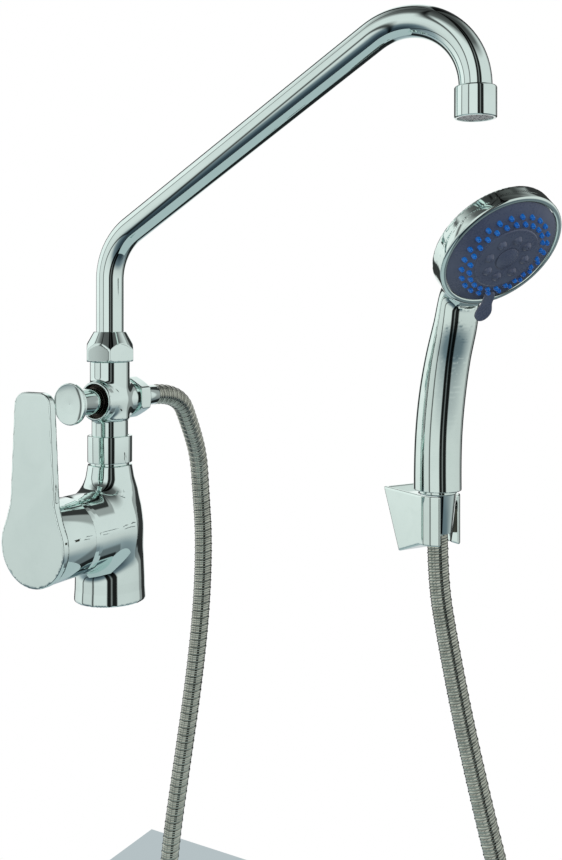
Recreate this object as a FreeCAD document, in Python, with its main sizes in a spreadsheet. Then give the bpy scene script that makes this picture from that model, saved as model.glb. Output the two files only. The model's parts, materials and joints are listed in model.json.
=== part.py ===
"""A deck-mounted mixer tap with a pull diverter, a long swivel spout and a hand shower in its holder.

Frame, in millimetres: the origin is the centre of the seat on the deck and +Z is up. The spout points
along +X, the lever and the diverter knob along -Y, and the hose leaves along +Y.
Every size is a cell of the sheet Sizes, and the pieces are bound to those cells by expressions.
"""

import FreeCAD, Part
import math
import os
import Sketcher
from FreeCAD import Placement, Rotation, Vector

DOC = FreeCAD.newDocument("mixer_tap")
SHEET = DOC.addObject("Spreadsheet::Sheet", "Sizes")


class Size:
    """A number together with the sheet expression that gives it."""

    def __init__(self, number, words):
        self.number = float(number)
        self.words = words

    def _with(self, other, sign, number, swap=False):
        first, second = (words_of(other), self.words) if swap else (self.words, words_of(other))
        return Size(number, f"({first} {sign} {second})")

    def __add__(self, other):
        return self._with(other, "+", self.number + number_of(other))

    def __radd__(self, other):
        return self._with(other, "+", number_of(other) + self.number, swap=True)

    def __sub__(self, other):
        return self._with(other, "-", self.number - number_of(other))

    def __rsub__(self, other):
        return self._with(other, "-", number_of(other) - self.number, swap=True)

    def __mul__(self, other):
        return self._with(other, "*", self.number * number_of(other))

    def __rmul__(self, other):
        return self._with(other, "*", number_of(other) * self.number, swap=True)

    def __truediv__(self, other):
        return self._with(other, "/", self.number / number_of(other))

    def __rtruediv__(self, other):
        return self._with(other, "/", number_of(other) / self.number, swap=True)

    def __neg__(self):
        return Size(-self.number, f"(-1 * {self.words})")


def number_of(term):
    return term.number if isinstance(term, Size) else float(term)


def words_of(term):
    return term.words if isinstance(term, Size) else repr(float(term))


def sine(term):
    return Size(math.sin(math.radians(number_of(term))), f"sin({words_of(term)})")


def cosine(term):
    return Size(math.cos(math.radians(number_of(term))), f"cos({words_of(term)})")


def tangent(term):
    return sine(term) / cosine(term)


def root(term):
    return Size(math.sqrt(number_of(term)), f"sqrt({words_of(term)})")


def leg(long_side, other):
    """The third side of a right triangle, such as a sphere's radius at a height."""
    return root(long_side * long_side - other * other)


def dome(across, high):
    """The radius of the ball of which a cap so wide from its axis and so high is cut."""
    return (across * across + high * high) / (2 * high)


class Sizes:
    """The driving dimensions: one sheet cell and one attribute for each."""

    def __init__(self, **cells):
        for row, (name, number) in enumerate(cells.items(), start=1):
            SHEET.set(f"A{row}", name)
            SHEET.set(f"B{row}", str(number))
            SHEET.setAlias(f"B{row}", name)
            setattr(self, name, Size(number, f"Sizes.{name}"))


S = Sizes(
    # fits
    running_fit=0.08,
    loose_fit=0.3,
    gap=0.05,
    # mixer body: base, skirt, barrel, shoulder and neck
    base_radius=23.2,
    base_lip=1.6,
    base_arc=150.0,
    barrel_arc=110.0,
    shoulder_arc=70.0,
    skirt_radius=22.7,
    skirt_height=14.0,
    barrel_radius=21.2,
    barrel_height=50.0,
    shoulder_radius=18.2,
    shoulder_height=72.0,
    neck_radius=14.4,
    neck_height=88.4,
    spigot_radius=12.7,
    spigot_length=7.6,
    outlet_bore=6.0,
    seal_radius=19.2,
    seal_width=3.0,
    seal_thickness=2.0,
    stud_radius=3.4,
    stud_depth=15.0,
    stud_offset=13.0,
    inlet_radius=4.5,
    inlet_spread=9.5,
    inlet_offset=5.0,
    # hub for the cartridge, along -Y
    hub_height=48.2,
    hub_radius=24.8,
    hub_face_reach=8.0,
    hub_tail=14.0,
    hub_tail_radius=26.0,
    hub_shoulder=4.0,
    cavity_radius=17.6,
    cavity_floor=8.0,
    nut_bore=19.6,
    nut_bore_depth=13.0,
    port_radius=2.5,
    port_spread=6.5,
    port_drop=4.0,
    port_rise=7.5,
    # cartridge
    cartridge_radius=17.4,
    cartridge_wall=1.4,
    cartridge_seal_height=1.4,
    cartridge_seal_wall=1.2,
    base_plate_height=2.6,
    disc_radius=14.0,
    disc_thickness=3.0,
    slider_radius=10.5,
    slider_thickness=2.5,
    carriage_width=17.0,
    carriage_length=15.0,
    carriage_height=8.8,
    carriage_gap=0.7,
    rail_width=2.5,
    rail_length=18.0,
    rotor_plate=2.8,
    housing_lid=2.0,
    fork_radius=8.5,
    pivot_rise=6.2,
    pivot_pin_radius=1.5,
    stem_width=6.6,
    ball_arm=12.0,
    ball_radius=2.4,
    retaining_nut_inner=11.0,
    retaining_nut_clear=4.0,
    # dome and lever
    dome_wall=1.6,
    dome_hole=14.6,
    lift=20.0,
    sleeve_radius=25.0,
    sleeve_bore=22.9,
    sleeve_rear_reach=6.5,
    sleeve_rim=24.2,
    sleeve_taper=3.7,
    sleeve_reach=31.0,
    plate_radius=25.35,
    plate_reach=36.0,
    plate_wall=5.5,
    boss_radius=6.0,
    boss_reach=14.0,
    boss_root_radius=9.0,
    boss_root_reach=25.2,
    paddle_top=92.1,
    paddle_top_width=28.5,
    paddle_foot_width=37.0,
    paddle_foot=14.0,
    paddle_corner=8.5,
    paddle_blend=14.0,
    lever_edge=0.7,
    grub_reach=27.7,
    grub_radius=2.5,
    grub_length=5.4,
    # union collar
    collar_rise=1.4,
    collar_length=17.5,
    collar_radius=14.65,
    collar_lip=4.0,
    union_washer=1.5,
    # diverter tee
    tee_neck_radius=11.9,
    tee_neck_length=10.1,
    tee_radius=13.0,
    tee_axis=13.2,
    tee_rise=25.2,
    tee_bore=7.5,
    boss_front=15.6,
    boss_rim=1.3,
    boss_arc=1.4,
    boss_recess=11.2,
    boss_recess_depth=3.6,
    rear_boss=14.0,
    branch_radius=10.25,
    branch_end=28.0,
    branch_bore=6.5,
    valve_seat=6.0,
    chamber_radius=7.6,
    bonnet_radius=8.95,
    bonnet_bore=7.2,
    bonnet_inner=6.2,
    bonnet_plate=3.1,
    bonnet_front=16.6,
    valve_radius=7.0,
    valve_thickness=2.6,
    valve_seal=1.0,
    valve_stem=3.5,
    spring_radius=5.2,
    spring_wire=0.55,
    spring_turns=5,
    knob_rear=18.0,
    knob_neck=8.7,
    knob_flare=32.5,
    knob_rim=37.6,
    knob_arc=7.2,
    knob_face=39.7,
    knob_radius=13.25,
    knob_dish=0.6,
    # spout
    spout_radius=9.0,
    spout_wall=1.5,
    spout_reach=250.0,
    spout_column=86.0,
    spout_rise=30.7,
    spout_bend=38.0,
    spout_crook=40.0,
    spout_tail=5.17,
    spout_foot_gap=1.0,
    socket_bore=10.0,
    socket_depth=10.8,
    socket_thread=11.5,
    socket_thread_length=11.2,
    cone_nut_flats=30.0,
    cone_nut_turn=10.0,
    cone_nut_hex=7.6,
    cone_nut_cone=12.0,
    cone_nut_nose=10.5,
    bush_flange=1.8,
    bush_length=9.0,
    o_ring=2.0,
    aerator_radius=11.4,
    aerator_length=17.0,
    aerator_round=1.2,
    tube_end_gap=0.2,
    aerator_socket=5.2,
    aerator_thread=9.6,
    insert_height=9.0,
    insert_holes=0.8,
    # hose fittings at the tee
    hose_radius=7.0,
    hose_nut_flats=24.0,
    hose_nut_rear=18.6,
    hose_nut_front=30.0,
    hose_nut_chamfer=2.2,
    tail_bore=4.4,
    tail_end=46.0,
    # where the hand shower hangs
    holder_x=190.2,
    holder_y=99.4,
    holder_turn=-30.0,
    handset_foot=73.0,
    cone_top_radius=11.7,
    cone_bottom_radius=9.05,
    cone_rim_radius=12.4,
    cone_bottom=45.6,
    cone_rim=70.8,
    handset_thread=10.2,
    handset_thread_end=63.0,
    swivel_ledge=58.8,
    swivel_flange=9.7,
    swivel_radius=7.0,
    swivel_end=45.0,
    holder_top=70.5,
    holder_depth=40.0,
    holder_foot_depth=23.0,
    holder_foot=29.9,
    holder_bottom=38.7,
    holder_radius=14.5,
    holder_mouth=14.3,
    holder_wall=2.4,
    holder_back=3.0,
    seat_gap=0.25,
    holder_screw=2.2,
    holder_screw_head=4.0,
    holder_screw_spacing=19.0,
    holder_access=4.6,
    # hand shower
    handle_width=31.0,
    handle_start_depth=30.8,
    handle_straight=85.0,
    handle_bend=265.0,
    handle_middle=52.0,
    handle_upper=95.0,
    waterway=6.0,
    face_u=61.0,
    face_z=223.5,
    face_tilt=41.5,
    head_radius=41.0,
    ring_depth=3.0,
    rim_depth=11.5,
    head_depth=23.0,
    ring_skirt=5.0,
    trim_width=3.6,
    skirt_recess=2.4,
    head_cavity=14.0,
    port_plate=2.5,
    plate_seal=1.2,
    mat_edge=4.4,
    mat_top=-6.0,
    mat_thickness=1.5,
    face_edge=0.8,
    face_rise=4.4,
    face_wall=2.0,
    centre_edge=2.9,
    centre_thickness=2.0,
    centre_top=5.2,
    jet_count=24,
    jet_edge=4.0,
    jet_row=4.4,
    jet_root=1.5,
    jet_tip=1.15,
    jet_stand=2.3,
    jet_clear=0.25,
    small_jets=8,
    small_jet_circle=13.6,
    small_jet_radius=2.7,
    small_jet_height=1.1,
    cap_radius=7.5,
    cap_height=1.6,
    screw_radius=2.0,
    screw_head=3.8,
    tab_turn=12.0,
    tab_reach=49.0,
    tab_width=11.0,
    tab_bottom=1.2,
    tab_top=3.8,
)

# Heights above the deck, stacked piece on piece
S.spigot_height = S.neck_height + S.spigot_length
S.collar_bottom = S.neck_height + S.collar_rise
S.collar_top = S.collar_bottom + S.collar_length
S.tee_barrel_bottom = S.collar_top + S.tee_neck_length
S.tee_height = S.tee_barrel_bottom + S.tee_axis
S.tee_top = S.tee_height + S.tee_rise
S.socket_floor = S.tee_top - S.socket_depth
S.socket_top = S.tee_top + S.socket_thread_length
S.cone_nut_shoulder = S.tee_top + S.cone_nut_hex
S.cone_nut_top = S.cone_nut_shoulder + S.cone_nut_cone

# The spout's foot, its corner, the lower end of its crook and the aerator below that
S.spout_foot = S.socket_floor + S.spout_foot_gap
S.spout_corner = S.socket_floor + S.spout_column
S.crook_end = (
    S.spout_corner
    + S.spout_reach * tangent(S.spout_rise)
    - S.spout_crook * tangent((90 + S.spout_rise) / 2)
)
S.tube_end = S.crook_end - S.spout_tail
S.aerator_step = S.tube_end - S.tube_end_gap
S.aerator_top = S.aerator_step + S.aerator_socket
S.aerator_bottom = S.aerator_top - S.aerator_length

DOC.recompute()

CARTRIDGE_FRONT = (
    S.cavity_floor
    + S.cartridge_seal_height
    + S.base_plate_height
)
SLIDER_REAR = CARTRIDGE_FRONT + S.disc_thickness
CARRIAGE_REAR = SLIDER_REAR + S.slider_thickness
ROTOR_REAR = CARRIAGE_REAR + S.carriage_height + S.carriage_gap
FORK_REAR = ROTOR_REAR + S.rotor_plate
HOUSING_FRONT = FORK_REAR + S.loose_fit + S.housing_lid
MAT_BOTTOM = S.mat_top - S.mat_thickness

# The lever turns about the pivot in the rotor's fork, so its depths are measured from there
S.pivot_depth = FORK_REAR + S.pivot_rise
S.hub_face = S.pivot_depth + S.hub_face_reach
S.sleeve_rear = S.pivot_depth + S.sleeve_rear_reach
S.sleeve_front = S.pivot_depth + S.sleeve_reach
S.plate_front = S.pivot_depth + S.plate_reach
S.boss_rear = S.pivot_depth + S.boss_reach
S.boss_root_rear = S.pivot_depth + S.boss_root_reach
S.grub_depth = S.pivot_depth + S.grub_reach

# The head's rings, from its rim inwards
S.ring_inner = S.head_radius - S.trim_width
S.skirt_outer = S.head_radius - S.skirt_recess
S.mat_radius = S.ring_inner - S.mat_edge
S.outer_jets = S.mat_radius - S.jet_edge
S.inner_jets = S.outer_jets - S.jet_row
S.centre_radius = S.inner_jets - S.centre_edge


# ---------------------------------------------------------------- sketches and features


def edges_of(outline):
    """The start, end and signed arc radius of each edge of a closed outline."""
    for index, point in enumerate(outline):
        after = outline[(index + 1) % len(outline)]
        yield point[:2], after[:2], (point[2] if len(point) > 2 else None)


def arc_between(start, end, radius):
    """An arc that leaves start and reaches end; a positive radius turns left on the way."""
    middle, half = (start + end) * 0.5, (end - start).Length / 2
    across = Vector(start.y - end.y, end.x - start.x, 0).normalize()
    side = 1 if radius > 0 else -1
    centre = middle + across * side * math.sqrt(max(radius * radius - half * half, 0))
    first, last = (start, end) if radius > 0 else (end, start)
    angles = [math.atan2(p.y - centre.y, p.x - centre.x) for p in (first, last)]
    circle = Part.Circle(centre, Vector(0, 0, 1), abs(radius))
    return Part.ArcOfCircle(circle, angles[0], angles[1])


def hold(sketch, kind, *where, term):
    """A dimension that follows its expression."""
    index = sketch.addConstraint(Sketcher.Constraint(kind, *where, number_of(term)))
    if isinstance(term, Size):
        sketch.setExpression(f"Constraints[{index}]", term.words)


def draw_outline(sketch, outline):
    """A closed outline of lines and arcs whose corners are (across, up) or (across, up, arc radius)."""
    first = sketch.GeometryCount
    ends = []
    for start, end, radius in edges_of(outline):
        here, there = (Vector(number_of(p[0]), number_of(p[1]), 0) for p in (start, end))
        if radius is None:
            index = sketch.addGeometry(Part.LineSegment(here, there), False)
        else:
            index = sketch.addGeometry(arc_between(here, there, number_of(radius)), False)
        turned = radius is not None and number_of(radius) < 0
        ends.append((index, 2, 1) if turned else (index, 1, 2))
    for (index, _, tail), (after, head, _) in zip(ends, ends[1:] + ends[:1]):
        sketch.addConstraint(Sketcher.Constraint("Coincident", index, tail, after, head))
    for (index, head, _), point in zip(ends, outline):
        hold(sketch, "DistanceX", -1, 1, index, head, term=point[0])
        hold(sketch, "DistanceY", -1, 1, index, head, term=point[1])
        if len(point) > 2:
            size = point[2] if number_of(point[2]) > 0 else -point[2]
            hold(sketch, "Radius", index, term=size)
    return first


def draw_circle(sketch, across, up, radius):
    centre = Vector(number_of(across), number_of(up), 0)
    index = sketch.addGeometry(Part.Circle(centre, Vector(0, 0, 1), number_of(radius)), False)
    hold(sketch, "DistanceX", -1, 1, index, 3, term=across)
    hold(sketch, "DistanceY", -1, 1, index, 3, term=up)
    hold(sketch, "Radius", index, term=radius)


def draw_ellipse(sketch, width, depth):
    """An ellipse about the origin, wide along the sketch's vertical axis."""
    half_width, half_depth = number_of(width) / 2, number_of(depth) / 2
    shape = Part.Ellipse(Vector(0, half_width, 0), Vector(-half_depth, 0, 0), Vector(0, 0, 0))
    index = sketch.addGeometry(shape, False)
    sketch.exposeInternalGeometry(index)
    sketch.addConstraint(Sketcher.Constraint("Coincident", index, 3, -1, 1))
    sketch.addConstraint(Sketcher.Constraint("PointOnObject", index + 1, 1, -2))
    hold(sketch, "Distance", index + 1, term=width)
    hold(sketch, "Distance", index + 2, term=depth)


def circle(across, up, radius):
    return ("circle", across, up, radius)


def ellipse(width, depth):
    return ("ellipse", width, depth)


DRAW = {"circle": draw_circle, "ellipse": draw_ellipse}


class Piece:
    """A PartDesign body with short calls for its features."""

    def __init__(self, label):
        self.body = DOC.addObject("PartDesign::Body", label)
        self.body.Label = label
        self.body.AllowCompound = True
        self.count = 0

    def name(self, kind):
        self.count += 1
        return f"{self.body.Name}_{kind}{self.count}"

    def plane(self, role):
        return next(f for f in self.body.Origin.OriginFeatures if f.Role == role)

    def sketch(self, role, outlines, shift=(0, 0, 0), turn=None):
        """Outlines on a plane of the body, shifted and turned within that plane's own frame."""
        sketch = self.body.newObject("Sketcher::SketchObject", self.name("sketch"))
        sketch.AttachmentSupport = [(self.plane(role), "")]
        sketch.MapMode = "FlatFace"
        for outline in outlines:
            if outline[0] in DRAW:
                DRAW[outline[0]](sketch, *outline[1:])
            else:
                draw_outline(sketch, outline)
        if turn is not None or any(number_of(term) for term in shift):
            sketch.setExpression("AttachmentOffset", placement_words(shift, turn))
        return sketch

    def feature(self, kind, sketch, **values):
        feature = self.body.newObject(f"PartDesign::{kind}", self.name(kind.lower()))
        feature.Profile = sketch
        for key, term in values.items():
            setattr(feature, key, number_of(term) if isinstance(term, Size) else term)
            if isinstance(term, Size):
                feature.setExpression(key, term.words)
        sketch.Visibility = False
        return feature

    def check_cut(self, cut):
        """A cut that points away from the solid takes nothing off, and says nothing."""
        before = self.body.Shape.Volume
        feature = cut()
        DOC.recompute()
        if not self.body.Shape.Volume < before - 1e-6:
            raise RuntimeError(f"{feature.Name} cuts nothing")
        return feature

    def revolve(self, role, *outlines, axis="V_Axis", **where):
        sketch = self.sketch(role, outlines, **where)
        feature = self.feature("Revolution", sketch, Angle=360.0)
        feature.ReferenceAxis = (sketch, [axis])
        DOC.recompute()
        return self

    def groove(self, role, *outlines, axis="V_Axis", **where):
        def cut():
            sketch = self.sketch(role, outlines, **where)
            feature = self.feature("Groove", sketch, Angle=360.0)
            feature.ReferenceAxis = (sketch, [axis])
            return feature

        self.check_cut(cut)
        return self

    def pad(self, role, *outlines, length, middle=False, **where):
        sketch = self.sketch(role, outlines, **where)
        self.feature("Pad", sketch, Length=length, Midplane=middle)
        DOC.recompute()
        return self

    def pocket(self, role, *outlines, length, middle=False, back=False, copies=None, **where):
        """A cut against the plane's normal, or along it when back is set, repeated round Z if asked."""

        def cut():
            sketch = self.sketch(role, outlines, **where)
            feature = self.feature("Pocket", sketch, Length=length, Midplane=middle)
            feature.Reversed = back
            if copies:
                DOC.recompute()
                pattern = self.body.newObject("PartDesign::PolarPattern", self.name("pattern"))
                pattern.Originals = [feature]
                pattern.Axis = (self.plane("Z_Axis"), [""])
                pattern.Angle = 360.0
                pattern.Occurrences = int(number_of(copies))
                if isinstance(copies, Size):
                    pattern.setExpression("Occurrences", copies.words)
                self.body.Tip = pattern
            return feature

        self.check_cut(cut)
        return self

    def loft(self, sections):
        first, *rest = sections
        feature = self.feature("AdditiveLoft", first)
        feature.Sections = rest
        DOC.recompute()
        return self

    def pipe(self, kind, profile, spine):
        feature = self.feature(kind, profile)
        feature.Spine = spine
        spine.Visibility = False
        DOC.recompute()
        return self

    def round_edges(self, radius, chosen, kind="Fillet"):
        """A fillet, or a chamfer, on the edges for which chosen is true."""
        DOC.recompute()
        base = self.body.Tip
        names = [f"Edge{i}" for i, edge in enumerate(base.Shape.Edges, start=1) if chosen(edge)]
        if not names:
            raise RuntimeError(f"{self.body.Name} has no such edge")
        feature = self.body.newObject(f"PartDesign::{kind}", self.name(kind.lower()))
        feature.Base = (base, names)
        key = "Radius" if kind == "Fillet" else "Size"
        setattr(feature, key, number_of(radius))
        if isinstance(radius, Size):
            feature.setExpression(key, radius.words)
        DOC.recompute()
        return self

    def place(self, shift, turn=None):
        self.body.setExpression("Placement", placement_words(shift, turn))
        DOC.recompute()
        return self


def placement_words(shift, turn=None):
    """The expression of a placement: a shift after turns, each an axis letter and an angle."""
    axes = {"x": "1; 0; 0", "y": "0; 1; 0", "z": "0; 0; 1"}
    base = "; ".join(words_of(term) for term in shift)
    turns = [
        f"create(<<rotation>>; create(<<vector>>; {axes[letter]}); {words_of(angle)})"
        for letter, angle in (turn or [("z", 0)])
    ]
    return f"create(<<placement>>; create(<<vector>>; {base}); {' * '.join(turns)})"


def ring(inner, outer, bottom, top):
    """The half section of a plain ring about the vertical axis."""
    return [(inner, bottom), (outer, bottom), (outer, top), (inner, top)]


def hexagon(flats, turn=0):
    """A hexagon with a corner on its first axis, or turned on from there."""
    corner = flats / math.sqrt(3)
    return [(corner * cosine(turn + 60 * step), corner * sine(turn + 60 * step)) for step in range(6)]


HUB_PLACE = ((0, 0, S.hub_height), [("x", 90)])
FRONT_PLACE = ((0, 0, S.tee_height), [("x", 90)])
REAR_PLACE = ((0, 0, S.tee_height), [("x", -90)])
HANDSET_PLACE = ((S.holder_x, S.holder_y, 0), [("z", S.holder_turn)])
FACE_PLACE = (
    (
        S.holder_x + S.face_u * cosine(S.holder_turn),
        S.holder_y + S.face_u * sine(S.holder_turn),
        S.face_z,
    ),
    [("z", S.holder_turn), ("y", 90 + S.face_tilt), ("z", 90)],
)


# ---------------------------------------------------------------- mixer body and base


def mixer_body():
    """The casting: a skirted column that carries the hub, with its waterways bored."""
    piece = Piece("mixer_body")
    piece.revolve(
        "XZ_Plane",
        [
            (0, 0),
            (S.base_radius, 0),
            (S.base_radius, S.base_lip, -S.base_arc),
            (S.skirt_radius, S.skirt_height),
            (S.barrel_radius, S.barrel_height, S.barrel_arc),
            (S.shoulder_radius, S.shoulder_height, -S.shoulder_arc),
            (S.neck_radius, S.neck_height),
            (S.spigot_radius, S.neck_height),
            (S.spigot_radius, S.spigot_height),
            (0, S.spigot_height),
        ],
    )
    piece.revolve(
        "YZ_Plane",
        [
            (-S.hub_face, 0),
            (S.hub_tail, 0, S.hub_tail_radius),
            (-S.hub_shoulder, S.hub_radius),
            (-S.pivot_depth, S.hub_radius, S.hub_radius),
            (-S.hub_face, leg(S.hub_radius, S.hub_face - S.pivot_depth)),
        ],
        axis="H_Axis",
        shift=(0, S.hub_height, 0),
    )
    nut_seat = S.hub_face - S.nut_bore_depth
    piece.groove(
        "YZ_Plane",
        [
            (-S.hub_face, 0),
            (-S.cavity_floor, 0),
            (-S.cavity_floor, S.cavity_radius),
            (-nut_seat, S.cavity_radius),
            (-nut_seat, S.nut_bore),
            (-S.hub_face, S.nut_bore),
        ],
        axis="H_Axis",
        shift=(0, S.hub_height, 0),
    )
    piece.groove("XZ_Plane", ring(S.seal_radius - S.seal_width / 2, S.seal_radius + S.seal_width / 2,
                                  0, S.seal_thickness))
    inlet_top = S.hub_height - S.port_drop
    piece.pocket(
        "XY_Plane",
        circle(S.inlet_spread, S.inlet_offset, S.inlet_radius),
        circle(-S.inlet_spread, S.inlet_offset, S.inlet_radius),
        length=inlet_top,
        back=True,
    )
    piece.pocket("XY_Plane", circle(0, -S.stud_offset, S.stud_radius), length=S.stud_depth, back=True)
    piece.pocket(
        "XZ_Plane",
        circle(S.port_spread, S.hub_height - S.port_drop, S.port_radius),
        circle(-S.port_spread, S.hub_height - S.port_drop, S.port_radius),
        length=S.cavity_floor + S.inlet_offset,
        shift=(0, 0, S.cavity_floor),
    )
    piece.pocket(
        "XZ_Plane",
        circle(0, S.hub_height + S.port_rise, S.port_radius),
        length=S.cavity_floor,
        shift=(0, 0, S.cavity_floor),
    )
    outlet_floor = S.hub_height + S.port_rise
    piece.pocket(
        "XY_Plane",
        circle(0, 0, S.outlet_bore),
        length=S.spigot_height - outlet_floor,
        shift=(0, 0, S.spigot_height),
    )
    return piece


def base_seal():
    inner, outer = S.seal_radius - S.seal_width / 2, S.seal_radius + S.seal_width / 2
    return Piece("base_seal").revolve("XZ_Plane", ring(inner, outer, 0, S.seal_thickness))


# ---------------------------------------------------------------- cartridge


def port_circles(radius):
    return [
        circle(S.port_spread, -S.port_drop, radius),
        circle(-S.port_spread, -S.port_drop, radius),
        circle(0, S.port_rise, radius),
    ]


def cartridge_seals():
    """Three rubber rings, one round each port of the cavity floor."""
    piece = Piece("cartridge_seals")
    inner = port_circles(S.port_radius)
    outer = port_circles(S.port_radius + S.cartridge_seal_wall)
    piece.pad("XY_Plane", *inner, *outer, length=S.cartridge_seal_height, shift=(0, 0, S.cavity_floor))
    return piece.place(*HUB_PLACE)


def cartridge_base():
    piece = Piece("cartridge_base")
    rear = S.cavity_floor + S.cartridge_seal_height
    piece.pad("XY_Plane", circle(0, 0, S.cartridge_radius), *port_circles(S.port_radius),
              length=S.base_plate_height, shift=(0, 0, rear))
    return piece.place(*HUB_PLACE)


def fixed_disc():
    piece = Piece("fixed_ceramic_disc")
    piece.pad("XY_Plane", circle(0, 0, S.disc_radius), *port_circles(S.port_radius),
              length=S.disc_thickness, shift=(0, 0, CARTRIDGE_FRONT))
    return piece.place(*HUB_PLACE)


def sliding_disc():
    """The moving ceramic disc with its plastic carriage, pushed by the ball of the stem."""
    piece = Piece("sliding_ceramic_disc")
    piece.pad("XY_Plane", circle(0, 0, S.slider_radius), length=S.slider_thickness, shift=(0, 0, SLIDER_REAR))
    half_width, half_length = S.carriage_width / 2, S.carriage_length / 2
    corners = [
        (-half_width, -half_length),
        (half_width, -half_length),
        (half_width, half_length),
        (-half_width, half_length),
    ]
    piece.pad("XY_Plane", corners, length=S.carriage_height, shift=(0, 0, CARRIAGE_REAR))
    carriage_front = CARRIAGE_REAR + S.carriage_height
    socket_floor = S.pivot_depth - S.ball_arm - S.ball_radius - 1
    piece.pocket("XY_Plane", circle(0, 0, S.ball_radius + S.loose_fit), length=carriage_front - socket_floor,
                 shift=(0, 0, carriage_front))
    return piece.place(*HUB_PLACE)


def cartridge_rotor():
    """The turning frame: two rails that guide the carriage, a plate and a fork for the stem."""
    piece = Piece("cartridge_rotor")
    inner = S.cartridge_radius - S.cartridge_wall - S.loose_fit
    piece.pad("XY_Plane", circle(0, 0, inner), length=S.rotor_plate, shift=(0, 0, ROTOR_REAR))
    near = S.carriage_width / 2 + 4 * S.gap
    far = near + S.rail_width
    half = S.rail_length / 2
    for side in (-1, 1):
        rail = [(near * side, -half), (far * side, -half), (far * side, half), (near * side, half)]
        piece.pad("XY_Plane", rail if side > 0 else rail[::-1], length=ROTOR_REAR - CARRIAGE_REAR - S.loose_fit,
                  shift=(0, 0, CARRIAGE_REAR + S.loose_fit))
    fork_front = S.pivot_depth + 4
    piece.pad("XY_Plane", circle(0, 0, S.fork_radius), length=fork_front - FORK_REAR, shift=(0, 0, FORK_REAR))
    slot = S.stem_width / 2 + S.loose_fit / 2
    piece.pocket("XY_Plane", [(-slot, -S.fork_radius), (slot, -S.fork_radius), (slot, S.fork_radius),
                              (-slot, S.fork_radius)], length=fork_front - FORK_REAR, shift=(0, 0, fork_front))
    window = S.stem_width / 2 + (S.pivot_depth - ROTOR_REAR) * tangent(S.lift) + S.loose_fit
    piece.pocket("XY_Plane", [(-slot, -window), (slot, -window), (slot, window), (-slot, window)],
                 length=S.rotor_plate, shift=(0, 0, FORK_REAR))
    piece.pocket("YZ_Plane", circle(0, S.pivot_depth, S.pivot_pin_radius), length=2 * S.fork_radius, middle=True)
    return piece.place(*HUB_PLACE)


def pivot_pin():
    piece = Piece("stem_pivot_pin")
    reach = leg(S.fork_radius, S.pivot_pin_radius)
    piece.pad("YZ_Plane", circle(0, S.pivot_depth, S.pivot_pin_radius), length=2 * reach, middle=True)
    return piece.place(*HUB_PLACE)


def cartridge_housing():
    piece = Piece("cartridge_housing")
    inner = S.cartridge_radius - S.cartridge_wall
    opening = S.fork_radius + S.loose_fit
    piece.revolve("XZ_Plane", [
        (inner, CARTRIDGE_FRONT),
        (S.cartridge_radius, CARTRIDGE_FRONT),
        (S.cartridge_radius, HOUSING_FRONT),
        (opening, HOUSING_FRONT),
        (opening, HOUSING_FRONT - S.housing_lid),
        (inner, HOUSING_FRONT - S.housing_lid),
    ])
    return piece.place(*HUB_PLACE)


def retaining_nut():
    """The brass ring that clamps the cartridge, with a hexagon hole for its key."""
    piece = Piece("cartridge_nut")
    front = S.hub_face - S.retaining_nut_clear
    piece.pad("XY_Plane", circle(0, 0, S.nut_bore), circle(0, 0, S.retaining_nut_inner),
              length=front - HOUSING_FRONT, shift=(0, 0, HOUSING_FRONT))
    piece.pocket("XY_Plane", hexagon(2 * S.retaining_nut_inner + 4), length=3, shift=(0, 0, front))
    return piece.place(*HUB_PLACE)


def dome_shroud():
    """A chromed ball cap that carries on the hub's ball nose, centred on the pivot of the stem."""
    outer, inner = S.hub_radius, S.hub_radius - S.dome_wall
    rise = S.hub_face - S.pivot_depth
    piece = Piece("dome_shroud")
    piece.revolve("XZ_Plane", [
        (leg(inner, rise), S.hub_face),
        (leg(outer, rise), S.hub_face, outer),
        (S.dome_hole, S.pivot_depth + leg(outer, S.dome_hole)),
        (S.dome_hole, S.pivot_depth + leg(inner, S.dome_hole), -inner),
    ])
    return piece.place(*HUB_PLACE)


# ---------------------------------------------------------------- lever


def lever_stem():
    """The square stem: a ball at its inner end, an eye for the pivot pin."""
    piece = Piece("lever_stem")
    half = S.stem_width / 2
    square = [(-half, -half), (half, -half), (half, half), (-half, half)]
    neck_front = ROTOR_REAR - S.gap
    ball = S.pivot_depth - S.ball_arm
    front = S.plate_front - S.plate_wall
    piece.pad("XY_Plane", square, length=front - neck_front, shift=(0, 0, neck_front))
    neck = S.ball_radius * 0.7
    piece.revolve("XZ_Plane", [
        (0, ball - S.ball_radius, S.ball_radius),
        (neck, ball + leg(S.ball_radius, neck)),
        (neck, neck_front),
        (0, neck_front),
    ])
    piece.pocket("YZ_Plane", circle(0, S.pivot_depth, S.pivot_pin_radius + S.running_fit),
                 length=2 * S.stem_width, middle=True)
    return piece.place(*HUB_PLACE)


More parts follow.
